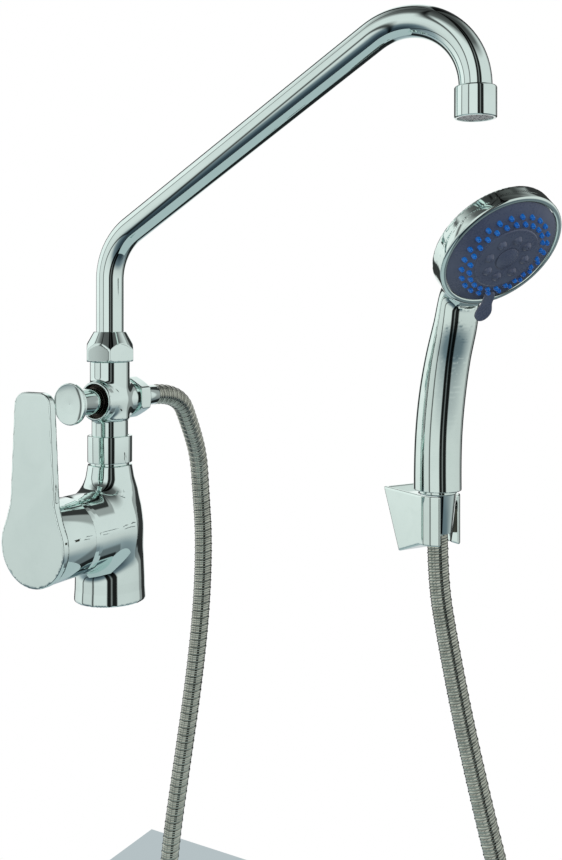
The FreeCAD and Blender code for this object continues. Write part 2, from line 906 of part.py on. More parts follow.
def lever_handle():
    """The sleeve over the dome, with the flat upright paddle and the socket for the stem."""
    piece = Piece("lever_handle")
    bottom = S.plate_front - S.plate_wall
    piece.revolve("XZ_Plane", [
        (0, bottom),
        (S.sleeve_bore, bottom),
        (S.sleeve_bore, S.sleeve_rear + S.sleeve_taper),
        (S.sleeve_rim, S.sleeve_rear),
        (S.sleeve_radius, S.sleeve_rear),
        (S.sleeve_radius, S.sleeve_front),
        (S.plate_radius, S.sleeve_front),
        (S.plate_radius, S.plate_front),
        (0, S.plate_front),
    ])
    top, foot = S.paddle_top_width / 2, S.paddle_foot_width / 2
    piece.pad("XY_Plane", [
        (-foot, S.paddle_foot),
        (foot, S.paddle_foot),
        (top, S.paddle_top),
        (-top, S.paddle_top),
    ], length=S.plate_front - S.sleeve_front, shift=(0, 0, S.sleeve_front))
    piece.revolve("XZ_Plane", ring(0, S.boss_radius, S.boss_rear, S.boss_root_rear + 1))
    piece.revolve("XZ_Plane", ring(0, S.boss_root_radius, S.boss_root_rear, bottom + 1))
    half = S.stem_width / 2
    piece.pocket("XY_Plane", [(-half, -half), (half, -half), (half, half), (-half, half)],
                 length=bottom - S.boss_rear, shift=(0, 0, S.boss_rear), back=True)
    piece.pocket("XZ_Plane", circle(0, S.grub_depth, S.grub_radius), length=S.sleeve_radius + 1, back=True)
    piece.round_edges(S.paddle_corner, paddle_corner)
    piece.round_edges(S.paddle_blend, paddle_root)
    front = number_of(S.plate_front)
    piece.round_edges(S.lever_edge, lambda edge: all(abs(v.Z - front) < 1e-4 for v in edge.Vertexes))
    return piece.place(*HUB_PLACE)


def is_upright(edge):
    """Whether an edge runs along the local Z axis."""
    ends = edge.Vertexes
    return len(ends) == 2 and math.hypot(ends[0].X - ends[1].X, ends[0].Y - ends[1].Y) < 1e-4


def paddle_corner(edge):
    """The two outer corners of the paddle."""
    return is_upright(edge) and abs(edge.Vertexes[0].Y - number_of(S.paddle_top)) < 0.01


def paddle_root(edge):
    """The inner corners where the paddle's sides meet the round plate."""
    point = edge.Vertexes[0]
    on_plate = abs(math.hypot(point.X, point.Y) - number_of(S.plate_radius)) < 0.01
    return is_upright(edge) and on_plate and abs(point.X) > number_of(S.paddle_top_width) / 2


def lever_grub_screw():
    piece = Piece("lever_grub_screw")
    half = S.stem_width / 2
    piece.pad("XZ_Plane", circle(0, S.grub_depth, S.grub_radius), length=S.grub_length, shift=(0, 0, half))
    piece.pocket("XZ_Plane", hexagon(Size(2.5, "2.5")), length=2.5,
                 shift=(0, S.grub_depth, half + S.grub_length))
    return piece.place(*HUB_PLACE)


def lever_plug():
    """The small press-in plug that hides the grub screw under the sleeve."""
    piece = Piece("lever_plug")
    piece.pad("XZ_Plane", circle(0, S.grub_depth, S.grub_radius), length=2.0,
              shift=(0, 0, S.sleeve_radius - 2.2))
    return piece.place(*HUB_PLACE)


# ---------------------------------------------------------------- union and diverter tee


def union_collar():
    piece = Piece("union_collar")
    flange = S.spigot_radius + 0.2
    lip = S.collar_top - S.collar_lip
    piece.revolve("XZ_Plane", [
        (S.spigot_radius, S.collar_bottom),
        (S.collar_radius, S.collar_bottom),
        (S.collar_radius, S.collar_top),
        (S.tee_neck_radius, S.collar_top),
        (S.tee_neck_radius, lip),
        (flange, lip),
        (flange, S.spigot_height),
        (S.spigot_radius, S.spigot_height),
    ])
    piece.round_edges(0.4, lambda edge: rim_at(edge, S.collar_radius))
    return piece


def rim_at(edge, radius, height=None):
    """Whether an edge is a full circle of that radius about the local Z axis."""
    if edge.Degenerated:
        return False
    curve = edge.Curve
    if not isinstance(curve, Part.Circle) or abs(curve.Radius - number_of(radius)) > 1e-3:
        return False
    on_axis = math.hypot(curve.Center.x, curve.Center.y) < 1e-3
    return on_axis and (height is None or abs(curve.Center.z - number_of(height)) < 1e-3)


def union_washer():
    top = S.spigot_height + S.union_washer
    return Piece("union_washer").revolve("XZ_Plane", ring(S.outlet_bore, S.spigot_radius, S.spigot_height, top))


def diverter_tee():
    """The tee: an upright barrel crossed by the front boss and the rear branch."""
    piece = Piece("diverter_tee")
    foot = S.spigot_height + S.union_washer
    lip = S.collar_top - S.collar_lip
    piece.revolve("XZ_Plane", [
        (0, foot),
        (S.spigot_radius, foot),
        (S.spigot_radius, lip),
        (S.tee_neck_radius, lip),
        (S.tee_neck_radius, S.tee_barrel_bottom),
        (S.tee_radius - 0.5, S.tee_barrel_bottom),
        (S.tee_radius, S.tee_barrel_bottom + 0.8),
        (S.tee_radius, S.tee_top),
        (S.socket_thread, S.tee_top),
        (S.socket_thread, S.socket_top),
        (0, S.socket_top),
    ])
    piece.revolve("YZ_Plane", [
        (-S.boss_front, 0),
        (S.branch_end, 0),
        (S.branch_end, S.branch_radius),
        (S.rear_boss, S.branch_radius),
        (S.rear_boss, S.tee_radius),
        (-S.boss_front + S.boss_rim, S.tee_radius, S.boss_arc),
        (-S.boss_front, S.tee_radius - S.boss_rim),
    ], axis="H_Axis", shift=(0, S.tee_height, 0))
    piece.groove("XZ_Plane", [
        (0, foot),
        (S.tee_bore, foot),
        (S.tee_bore, S.socket_floor),
        (S.socket_bore, S.socket_floor),
        (S.socket_bore, S.socket_top),
        (0, S.socket_top),
    ])
    recess = S.boss_front - S.boss_recess_depth
    piece.groove("YZ_Plane", [
        (-S.boss_front, 0),
        (S.branch_end, 0),
        (S.branch_end, S.branch_bore),
        (S.valve_seat, S.branch_bore),
        (S.valve_seat, S.chamber_radius),
        (-S.bonnet_inner, S.chamber_radius),
        (-S.bonnet_inner, S.bonnet_radius),
        (-recess, S.bonnet_radius),
        (-recess, S.boss_recess),
        (-S.boss_front, S.boss_recess),
    ], axis="H_Axis", shift=(0, S.tee_height, 0))
    return piece


def diverter_bonnet():
    """The screwed-in gland: a stepped, ribbed nose round the knob's stem."""
    piece = Piece("diverter_bonnet")
    recess = S.boss_front - S.boss_recess_depth
    plate = S.bonnet_front - S.bonnet_plate
    step = (S.boss_recess - S.knob_neck) / 4
    stem = S.valve_stem + S.running_fit
    piece.revolve("XZ_Plane", [
        (S.bonnet_bore, S.bonnet_inner),
        (S.bonnet_radius, S.bonnet_inner),
        (S.bonnet_radius, recess),
        (S.boss_recess, recess),
        (S.boss_recess, recess + 1.2),
        (S.boss_recess - step, recess + 1.2),
        (S.boss_recess - step, recess + 2.4),
        (S.boss_recess - 2 * step, recess + 2.4),
        (S.boss_recess - 2 * step, recess + 3.6),
        (S.boss_recess - 3 * step, recess + 3.6),
        (S.boss_recess - 3 * step, S.bonnet_front),
        (stem, S.bonnet_front),
        (stem, plate),
        (S.bonnet_bore, plate),
    ])
    return piece.place(*FRONT_PLACE)


def diverter_stem():
    """The sliding rod with its valve disc."""
    piece = Piece("diverter_stem")
    disc_rear = S.valve_seal - S.valve_seat
    piece.revolve("XZ_Plane", [
        (0, disc_rear),
        (S.valve_radius, disc_rear),
        (S.valve_radius, disc_rear + S.valve_thickness),
        (S.valve_stem, disc_rear + S.valve_thickness),
        (S.valve_stem, S.knob_flare),
        (0, S.knob_flare),
    ])
    return piece.place(*FRONT_PLACE)


def valve_seals():
    """Two rubber faces of the valve disc: one shuts the hose, the other the spout."""
    piece = Piece("valve_seals")
    disc_rear = S.valve_seal - S.valve_seat
    disc_front = disc_rear + S.valve_thickness
    piece.revolve(
        "XZ_Plane",
        ring(S.valve_stem, S.valve_radius, -S.valve_seat, disc_rear),
        ring(S.valve_stem, S.valve_radius, disc_front, disc_front + S.valve_seal),
    )
    return piece.place(*FRONT_PLACE)


def diverter_knob():
    """A turned mushroom knob with a thin rim and a shallow dish."""
    piece = Piece("diverter_knob")
    flare = S.knob_radius - 1.1
    piece.revolve("XZ_Plane", [
        (S.valve_stem, S.knob_rear),
        (S.knob_neck, S.knob_rear),
        (S.knob_neck, S.knob_flare, -S.knob_arc),
        (flare, S.knob_rim - 0.6),
        (S.knob_radius, S.knob_rim),
        (S.knob_radius, S.knob_face, -dome(S.knob_radius, S.knob_dish)),
        (0, S.knob_face - S.knob_dish),
        (0, S.knob_flare),
        (S.valve_stem, S.knob_flare),
    ])
    piece.round_edges(0.35, lambda edge: rim_at(edge, S.knob_radius))
    return piece.place(*FRONT_PLACE)


def helix_spring(label, radius, wire, turns, start, end, placement):
    """A round-wire compression spring about the local Z axis."""
    spring = DOC.addObject("Part::Feature", label)
    spring.Label = label
    length = number_of(end - start) - 2 * number_of(wire)
    helix = Part.makeHelix(length / number_of(turns), length, number_of(radius))
    helix.translate(Vector(0, 0, number_of(start) + number_of(wire)))
    first = helix.Edges[0]
    point, heading = first.valueAt(first.FirstParameter), first.tangentAt(first.FirstParameter)
    section = Part.Wire(Part.makeCircle(number_of(wire), point, heading))
    shape = Part.Wire(helix.Edges).makePipeShell([section], True, True)
    spring.Shape = shape
    spring.setExpression("Placement", placement_words(*placement))
    DOC.recompute()
    return spring


def diverter_spring():
    start = S.valve_seal - S.valve_seat + S.valve_thickness + S.valve_seal
    end = S.bonnet_front - S.bonnet_plate
    return helix_spring("diverter_spring", S.spring_radius, S.spring_wire, S.spring_turns, start, end, FRONT_PLACE)


# ---------------------------------------------------------------- spout


def cone_nut():
    """The spout's nut: six flats below, a long cone above, the lip that holds the bush."""
    piece = Piece("spout_cone_nut")
    corner = S.cone_nut_flats / math.sqrt(3)
    lip = S.socket_top + S.bush_flange + 2 * S.gap
    piece.revolve("XZ_Plane", [
        (S.socket_thread, S.tee_top),
        (corner - 0.9, S.tee_top),
        (corner, S.tee_top + 0.6),
        (corner, S.cone_nut_shoulder),
        (S.cone_nut_nose, S.cone_nut_top),
        (S.spout_radius + S.running_fit, S.cone_nut_top),
        (S.spout_radius + S.running_fit, lip),
        (S.socket_thread, lip),
    ])
    piece.pocket("XY_Plane", circle(0, 0, corner + 5), hexagon(S.cone_nut_flats, S.cone_nut_turn),
                 length=S.cone_nut_top - S.tee_top, shift=(0, 0, S.cone_nut_top))
    return piece


def spout_path(piece):
    """The spout's centreline in the XZ plane: up, leaning out, then over and down."""
    turn_up = 90 - S.spout_rise
    short = S.spout_bend * tangent(turn_up / 2)
    over = (90 + S.spout_rise) / 2
    long = S.spout_crook * tangent(over)
    points = [
        (0, S.spout_foot),
        (0, S.spout_corner - short),
        (short * cosine(S.spout_rise), S.spout_corner + short * sine(S.spout_rise)),
        (S.spout_reach - long * cosine(S.spout_rise), S.crook_end + long - long * sine(S.spout_rise)),
        (S.spout_reach, S.crook_end),
        (S.spout_reach, S.tube_end),
    ]
    sketch = piece.body.newObject("Sketcher::SketchObject", piece.name("path"))
    sketch.AttachmentSupport = [(piece.plane("XZ_Plane"), "")]
    sketch.MapMode = "FlatFace"
    at = [Vector(number_of(u), number_of(v), 0) for u, v in points]
    sketch.addGeometry(Part.LineSegment(at[0], at[1]), False)
    sketch.addGeometry(arc_between(at[1], at[2], -number_of(S.spout_bend)), False)
    sketch.addGeometry(Part.LineSegment(at[2], at[3]), False)
    sketch.addGeometry(arc_between(at[3], at[4], -number_of(S.spout_crook)), False)
    sketch.addGeometry(Part.LineSegment(at[4], at[5]), False)
    for before, tail, after, head in [(0, 2, 1, 2), (1, 1, 2, 1), (2, 2, 3, 2), (3, 1, 4, 1)]:
        sketch.addConstraint(Sketcher.Constraint("Coincident", before, tail, after, head))
    held = [(0, 1), (0, 2), (2, 1), (2, 2), (4, 1), (4, 2)]
    for (index, end), (across, up) in zip(held, points):
        hold(sketch, "DistanceX", -1, 1, index, end, term=across)
        hold(sketch, "DistanceY", -1, 1, index, end, term=up)
    hold(sketch, "Radius", 1, term=S.spout_bend)
    hold(sketch, "Radius", 3, term=S.spout_crook)
    return sketch


def spout_tube():
    piece = Piece("spout_tube")
    section = piece.sketch("XY_Plane", [circle(0, 0, S.spout_radius),
                                        circle(0, 0, S.spout_radius - S.spout_wall)],
                           shift=(0, 0, S.spout_foot))
    return piece.pipe("AdditivePipe", section, spout_path(piece))


def spout_bush():
    """The plastic bush on the tube's foot, trapped under the nut's lip."""
    piece = Piece("spout_bush")
    skirt = S.socket_bore - S.running_fit
    bottom = S.socket_top - S.bush_length
    piece.revolve("XZ_Plane", [
        (S.spout_radius, bottom),
        (skirt, bottom),
        (skirt, S.socket_top + S.gap),
        (S.socket_thread - S.running_fit, S.socket_top + S.gap),
        (S.socket_thread - S.running_fit, S.socket_top + S.gap + S.bush_flange),
        (S.spout_radius, S.socket_top + S.gap + S.bush_flange),
    ])
    return piece


def spout_o_rings():
    """Two square-section rings that seal the turning tube in the tee."""
    piece = Piece("spout_o_rings")
    outer = S.socket_bore - S.gap
    low, high = S.socket_floor + 4, S.socket_floor + 8
    piece.revolve(
        "XZ_Plane",
        ring(S.spout_radius, outer, low, low + S.o_ring),
        ring(S.spout_radius, outer, high, high + S.o_ring),
    )
    return piece


def aerator_housing():
    piece = Piece("aerator_housing")
    step = S.aerator_step
    piece.revolve("XZ_Plane", [
        (S.spout_radius - S.spout_wall, step),
        (S.spout_radius, step),
        (S.spout_radius, S.aerator_top),
        (S.aerator_radius - S.aerator_round, S.aerator_top, -S.aerator_round),
        (S.aerator_radius, S.aerator_top - S.aerator_round),
        (S.aerator_radius, S.aerator_bottom + 0.5),
        (S.aerator_radius - 0.5, S.aerator_bottom),
        (S.aerator_thread, S.aerator_bottom),
        (S.aerator_thread, step - 1.4),
        (S.spout_radius - S.spout_wall, step - 1.4),
    ][::-1])
    return piece.place((S.spout_reach, 0, 0))


def aerator_insert():
    piece = Piece("aerator_insert")
    bottom = S.aerator_bottom + 0.6
    top = bottom + S.insert_height
    piece.revolve("XZ_Plane", [
        (0, bottom),
        (S.aerator_thread, bottom),
        (S.aerator_thread, top),
        (S.aerator_thread - 1.4, top),
        (S.aerator_thread - 1.4, bottom + 2),
        (0, bottom + 2),
    ])
    for circle_radius, copies in ((3.0, 6), (6.2, 12)):
        piece.pocket("XY_Plane", circle(circle_radius, 0, S.insert_holes), length=2,
                     shift=(0, 0, bottom + 2), copies=copies)
    return piece.place((S.spout_reach, 0, 0))


def aerator_washer():
    piece = Piece("aerator_washer")
    bottom = S.aerator_bottom + 0.6 + S.insert_height
    top = S.aerator_step - 1.4
    piece.revolve("XZ_Plane", ring(S.spout_radius - S.spout_wall, S.aerator_thread, bottom, top))
    return piece.place((S.spout_reach, 0, 0))


# ---------------------------------------------------------------- hose at the tee


def hose_nut():
    """The hexagon nut that holds the hose on the branch."""
    piece = Piece("hose_hex_nut")
    corner = S.hose_nut_flats / math.sqrt(3)
    lip = S.branch_end + S.gap
    piece.revolve("XZ_Plane", [
        (S.branch_radius, S.hose_nut_rear),
        (corner - 1.0, S.hose_nut_rear),
        (corner, S.hose_nut_rear + 0.7),
        (corner, S.hose_nut_front - S.hose_nut_chamfer),
        (corner - S.hose_nut_chamfer * 1.6, S.hose_nut_front),
        (S.swivel_radius - 0.6, S.hose_nut_front),
        (S.swivel_radius - 0.6, lip),
        (S.branch_radius, lip),
    ])
    piece.pocket("XY_Plane", circle(0, 0, corner + 5), hexagon(S.hose_nut_flats),
                 length=S.hose_nut_front - S.hose_nut_rear, shift=(0, 0, S.hose_nut_front))
    return piece.place((0, 0, S.tee_height), [("x", -90), ("z", 30)])


def hose_tail():
    """The crimped end of the hose: an inner barb in the nut and a smooth sleeve outside it."""
    piece = Piece("hose_tail")
    rear = S.branch_end + S.gap
    barb = S.swivel_radius - 0.7
    piece.revolve("XZ_Plane", [
        (S.tail_bore, rear - 6),
        (barb, rear - 6),
        (barb, S.hose_nut_front + 0.3),
        (S.hose_radius, S.hose_nut_front + 0.3),
        (S.hose_radius, S.tail_end),
        (S.tail_bore, S.tail_end),
    ])
    return piece.place(*REAR_PLACE)


def hose_tail_washer():
    piece = Piece("hose_tail_washer")
    piece.revolve("XZ_Plane", ring(S.swivel_radius - 0.7, S.branch_bore, S.branch_end - 4, S.branch_end - 2))
    return piece.place(*REAR_PLACE)


# ---------------------------------------------------------------- hand shower holder


def holder_shell():
    """A wedge-shaped shell, open above, with a C-shaped tapered socket in front."""
    piece = Piece("holder_wedge")
    piece.pad("XZ_Plane", [
        (-S.holder_foot_depth, S.holder_foot),
        (0, S.holder_bottom),
        (0, S.holder_top),
        (-S.holder_depth, S.holder_top),
    ], length=2 * S.holder_radius, middle=True)
    piece.pad("XY_Plane", circle(0, 0, S.holder_radius), length=S.holder_top - S.holder_bottom,
              shift=(0, 0, S.holder_bottom))
    back, wall = S.holder_back, S.holder_wall
    slope = (S.holder_depth - S.holder_foot_depth) / (S.holder_top - S.holder_foot)
    front = -(S.holder_radius - 0.3)
    floor = S.holder_bottom + front * (S.holder_bottom - S.holder_foot) / S.holder_foot_depth + wall
    low = S.holder_foot + wall
    back_low = -(S.holder_foot_depth + slope * wall - 1.1 * back)
    piece.pocket("XZ_Plane", [
        (back_low, low),
        (front, floor),
        (front, S.holder_top + 1),
        (-(S.holder_depth + slope - 1.1 * back), S.holder_top + 1),
    ], length=2 * (S.holder_radius - wall), middle=True)
    piece.groove("XZ_Plane", [
        (0, S.holder_foot),
        (cone_radius(S.holder_foot) + S.seat_gap, S.holder_foot),
        (cone_radius(S.holder_top + 1) + S.seat_gap, S.holder_top + 1),
        (0, S.holder_top + 1),
    ])
    half = S.holder_mouth / 2
    piece.pocket("XY_Plane", [(0, -half), (S.holder_radius + 2, -half), (S.holder_radius + 2, half), (0, half)],
                 length=S.holder_top - S.holder_bottom + 2, shift=(0, 0, S.holder_top + 1))
    piece.place(*HANDSET_PLACE)
    cuts = []
    for index, (u, z) in enumerate(screw_places(), start=1):
        hole = wall_cylinder(f"holder_hole{index}", u, z, S.holder_screw, S.holder_back + 2, -1)
        access = wall_cylinder(f"holder_access{index}", u, z, S.holder_access,
                               S.holder_depth - S.holder_radius / 2, S.holder_back + 4)
        cuts += [hole, access]
    tools = DOC.addObject("Part::MultiFuse", "holder_drills")
    tools.Shapes = cuts
    shell = DOC.addObject("Part::Cut", "holder_shell")
    shell.Label = "holder_shell"
    shell.Base = piece.body
    shell.Tool = tools
    DOC.recompute()
    return shell


def cone_radius(height):
    """The hose nut's taper, which the socket repeats with its clearance."""
    slope = (S.cone_top_radius - S.cone_bottom_radius) / (S.cone_rim - S.cone_bottom)
    return S.cone_bottom_radius + (height - S.cone_bottom) * slope


WALL_LEAN = Size(
    math.degrees(math.atan2(
        number_of(S.holder_depth - S.holder_foot_depth), number_of(S.holder_top - S.holder_foot)
    )),
    "(atan((Sizes.holder_depth - Sizes.holder_foot_depth) / (Sizes.holder_top - Sizes.holder_foot)) / 1 deg)",
)


def screw_places():
    """Where the two screws pass the wall face, as distance in front of the socket's axis and height."""
    u = -(S.holder_depth + S.holder_foot_depth) / 2
    z = (S.holder_top + S.holder_foot) / 2
    for side in (1, -1):
        away = side * S.holder_screw_spacing / 2
        yield u - away * sine(WALL_LEAN), z + away * cosine(WALL_LEAN)


def wall_placement(u, z, forward):
    """A frame on the wall face whose Z axis leaves the wall, moved forward along that axis."""
    u = u + forward * cosine(WALL_LEAN)
    z = z + forward * sine(WALL_LEAN)
    shift = (
        S.holder_x + u * cosine(S.holder_turn),
        S.holder_y + u * sine(S.holder_turn),
        z,
    )
    return shift, [("z", S.holder_turn), ("y", 90 - WALL_LEAN)]


def wall_cylinder(label, u, z, radius, height, forward):
    shape = DOC.addObject("Part::Cylinder", label)
    for key, term in (("Radius", radius), ("Height", height)):
        shape.setExpression(key, words_of(term))
    shape.setExpression("Placement", placement_words(*wall_placement(u, z, forward)))
    return shape


def holder_screws():
    """Two countersunk screws, their heads on the shell's back wall."""
    piece = Piece("holder_screw")
    shank, head = S.holder_screw - 0.2, S.holder_screw_head
    seat = S.holder_back
    piece.revolve("XZ_Plane", [
        (0, -14),
        (shank, -11),
        (shank, seat + 0.1),
        (head, seat + 0.1),
        (head, seat + 1.3),
        (head - 1, seat + 2.3),
        (0, seat + 2.3),
    ])
    slot = [(-3, -0.4), (3, -0.4), (3, 0.4), (-3, 0.4)]
    piece.pocket("XY_Plane", slot, length=1.2, shift=(0, 0, seat + 2.3))
    group = DOC.addObject("Part::Feature", "holder_screws")
    group.Label = "holder_screws"
    copies = []
    for u, z in screw_places():
        shift, turns = wall_placement(u, z, 0)
        copy = piece.body.Shape.copy()
        rotation = Rotation()
        for letter, angle in turns:
            axis = Vector(*(float(letter == other) for other in "xyz"))
            rotation = rotation * Rotation(axis, number_of(angle))
        copy.Placement = Placement(Vector(*(number_of(term) for term in shift)), rotation)
        copies.append(copy)
    group.Shape = Part.makeCompound(copies)
    return group


# ---------------------------------------------------------------- hand shower


def hose_cone_nut():
    """The conical nut of the hose, which screws onto the handle and sits in the holder."""
    piece = Piece("hose_cone_nut")
    bore = S.swivel_radius + S.running_fit
    piece.revolve("XZ_Plane", [
        (bore, S.cone_bottom),
        (S.cone_bottom_radius, S.cone_bottom),
        (S.cone_top_radius, S.cone_rim),
        (S.cone_rim_radius, S.cone_rim + 0.6),
        (S.cone_rim_radius, S.handset_foot),
        (S.handset_thread, S.handset_foot),
        (S.handset_thread, S.swivel_ledge),
        (bore, S.swivel_ledge),
    ])
    return piece.place(*HANDSET_PLACE)


def hose_swivel():
    """The hose's other end: a flanged sleeve that turns inside the conical nut."""
    piece = Piece("hose_swivel")
    flange = S.swivel_ledge + S.gap
    piece.revolve("XZ_Plane", [
        (S.tail_bore, S.swivel_end),
        (S.swivel_radius, S.swivel_end),
        (S.swivel_radius, flange),
        (S.swivel_flange, flange),
        (S.swivel_flange, flange + 2),
        (S.tail_bore, flange + 2),
    ])
    return piece.place(*HANDSET_PLACE)


def swivel_washer():
    piece = Piece("swivel_washer")
    bottom = S.swivel_ledge + 2 * S.gap + 2
    piece.revolve("XZ_Plane", ring(S.waterway, S.handset_thread, bottom, S.handset_thread_end))
    return piece.place(*HANDSET_PLACE)


def handle_centre(up):
    """The handle's centreline: straight, then an even bend towards the head."""
    rise = up - S.handle_straight
    return S.handle_bend - leg(S.handle_bend, rise)


def face_point(across, out):
    """A point of the hand shower's middle plane, along the face and out of it."""
    u = S.face_u + across * sine(S.face_tilt) + out * cosine(S.face_tilt)
    z = S.face_z + across * cosine(S.face_tilt) - out * sine(S.face_tilt)
    return u, z


def handle_sections(piece):
    """The ellipses of the handle, from the round foot to the flatter neck inside the head."""
    width = S.handle_width
    depth = S.handle_start_depth
    low = S.handle_straight + S.handle_middle
    high = S.handle_straight + S.handle_upper
    neck_u, neck_z = face_point(-39, -14.6)
    end_u, end_z = face_point(-12, -14.5)
    table = [
        (0, S.handset_foot, 0, width, depth),
        (0, S.handle_straight, 0, width, depth - 0.2),
        (handle_centre(low), low, 11.3, width, depth - 2.4),
        (handle_centre(high), high, 21, width, depth - 8),
        (neck_u, neck_z, 33, width - 3, depth - 12),
        (end_u, end_z, S.face_tilt, width - 9, depth - 17),
    ]
    return [
        piece.sketch("XY_Plane", [ellipse(wide, deep)], shift=(u, 0, z), turn=[("y", lean)])
        for u, z, lean, wide, deep in table
    ]


def handset_shell():
    """Handle and head back in one hollow piece, with the pipe thread at its foot."""
    piece = Piece("handset_shell")
    piece.loft(handle_sections(piece))
    centre = (S.face_u, S.face_z, 0)
    turned = [("z", -(90 + S.face_tilt))]
    piece.revolve("XZ_Plane", [
        (0, -S.head_depth, dome(S.head_radius, S.head_depth - S.rim_depth)),
        (S.head_radius, -S.rim_depth),
        (S.head_radius, -S.ring_depth),
        (0, -S.ring_depth),
    ], shift=centre, turn=turned)
    piece.revolve("XZ_Plane", ring(0, S.handset_thread, S.handset_thread_end, S.handset_foot))
    thread_floor = -(S.ring_depth + S.ring_skirt)
    piece.groove("XZ_Plane", [
        (0, -S.head_cavity),
        (S.ring_inner - 0.4, -S.head_cavity),
        (S.ring_inner - 0.4, thread_floor),
        (S.skirt_outer, thread_floor),
        (S.skirt_outer, -S.ring_depth),
        (S.head_radius + 4, -S.ring_depth),
        (S.head_radius + 4, S.ring_depth),
        (0, S.ring_depth),
    ], shift=centre, turn=turned)
    bend_end = S.handle_straight + S.handle_upper
    neck_u, neck_z = face_point(-30, -S.head_cavity + 0.5)
    path = piece.body.newObject("Sketcher::SketchObject", piece.name("path"))
    path.AttachmentSupport = [(piece.plane("XZ_Plane"), "")]
    path.MapMode = "FlatFace"
    points = [
        (0, S.handset_thread_end),
        (0, S.handle_straight),
        (handle_centre(bend_end), bend_end),
        (neck_u, neck_z),
    ]
    at = [Vector(number_of(u), number_of(v), 0) for u, v in points]
    path.addGeometry(Part.LineSegment(at[0], at[1]), False)
    path.addGeometry(arc_between(at[1], at[2], -number_of(S.handle_bend)), False)
    path.addGeometry(Part.LineSegment(at[2], at[3]), False)
    path.addConstraint(Sketcher.Constraint("Coincident", 0, 2, 1, 2))
    path.addConstraint(Sketcher.Constraint("Coincident", 1, 1, 2, 1))
    for (index, end), (u, v) in zip([(0, 1), (0, 2), (2, 1), (2, 2)], points):
        hold(path, "DistanceX", -1, 1, index, end, term=u)
        hold(path, "DistanceY", -1, 1, index, end, term=v)
    hold(path, "Radius", 1, term=S.handle_bend)
    bore = piece.sketch("XY_Plane", [circle(0, 0, S.waterway)], shift=(0, 0, S.handset_thread_end))
    piece.pipe("SubtractivePipe", bore, path)
    return piece.place(*HANDSET_PLACE)


def head_trim_ring():
    """The bright screwed ring that holds the spray face."""
    piece = Piece("head_trim_ring")
    skirt = -(S.ring_depth + S.ring_skirt)
    piece.revolve("XZ_Plane", [
        (S.ring_inner, skirt),
        (S.skirt_outer, skirt),
        (S.skirt_outer, -S.ring_depth),
        (S.head_radius, -S.ring_depth),
        (S.head_radius, -1.6, Size(1.7, "1.7")),
        (S.head_radius - 1.6, 0),
        (S.ring_inner + 0.9, 0, Size(1.0, "1.0")),
        (S.ring_inner, -0.9),
    ])
    return piece.place(*FACE_PLACE)


def port_plate():
    """The fixed plate with the three ways that the selector opens."""
    piece = Piece("port_plate")
    bottom = -S.head_cavity
    piece.pad("XY_Plane", circle(0, 0, S.ring_inner - 0.4 - S.gap), circle(0, 0, S.screw_radius),
              length=S.port_plate, shift=(0, 0, bottom))
    piece.pad("XY_Plane", circle(0, 0, 5), circle(0, 0, S.screw_radius), length=2.5,
              shift=(0, 0, bottom + S.port_plate))
    for turn, far in ((0, 12), (120, 19), (240, 26)):
        angle = math.radians(turn)
        piece.pocket("XY_Plane", circle(far * math.cos(angle), far * math.sin(angle), 3.4),
                     length=S.port_plate, shift=(0, 0, bottom + S.port_plate))
    return piece.place(*FACE_PLACE)


def plate_seal():
    piece = Piece("plate_seal")
    bottom = -S.head_cavity + S.port_plate
    outer = S.ring_inner - 0.4
    piece.revolve("XZ_Plane", ring(outer - 3, outer, bottom, bottom + S.plate_seal))
    return piece.place(*FACE_PLACE)


def face_height(radius):
    """The spray face's cone: how far out it stands at a radius."""
    edge = S.ring_inner - S.loose_fit
    slope = (S.face_rise + S.face_edge) / (edge - S.centre_radius)
    return (edge - radius) * slope - S.face_edge


def jet_rings():
    """The two rings of jets: their circle and the half step that staggers them."""
    return ((S.inner_jets, 0), (S.outer_jets, 0.5))


def spray_face():
    """The turning face: a low cone with two rings of holes and the selector's tab."""
    piece = Piece("spray_face")
    edge = S.ring_inner - S.loose_fit
    bore = S.screw_radius + S.running_fit
    top = S.centre_top - S.centre_thickness
    piece.revolve("XZ_Plane", [
        (bore, top - S.face_wall),
        (S.centre_radius - 2, top - S.face_wall),
        (edge - S.face_wall, -S.face_edge - S.face_wall),
        (edge - S.face_wall, MAT_BOTTOM),
        (edge, MAT_BOTTOM),
        (edge, -S.face_edge),
        (S.centre_radius + 0.4, S.face_rise),
        (S.centre_radius + 0.1, S.face_rise),
        (S.centre_radius + 0.1, top),
        (bore, top),
    ])
    angle = -90 + S.tab_turn
    half, root_half = S.tab_width / 2, S.tab_width / 2 + 1.5
    along = [
        (S.ring_inner - 5, -root_half),
        (S.tab_reach - half, -half, half * 1.02),
        (S.tab_reach - half, half),
        (S.ring_inner - 5, root_half),
    ]
    piece.pad("XY_Plane", along, length=S.tab_top - S.tab_bottom, shift=(0, 0, S.tab_bottom),
              turn=[("z", angle)])
    for radius, step in jet_rings():
        angle = 360 / S.jet_count * step
        hole = circle(radius, 0, S.jet_root + S.jet_clear)
        height = face_height(radius) + 3
        piece.pocket("XY_Plane", hole, length=height + 6, shift=(0, 0, height), turn=[("z", angle)],
                     copies=S.jet_count)
    return piece.place(*FACE_PLACE)


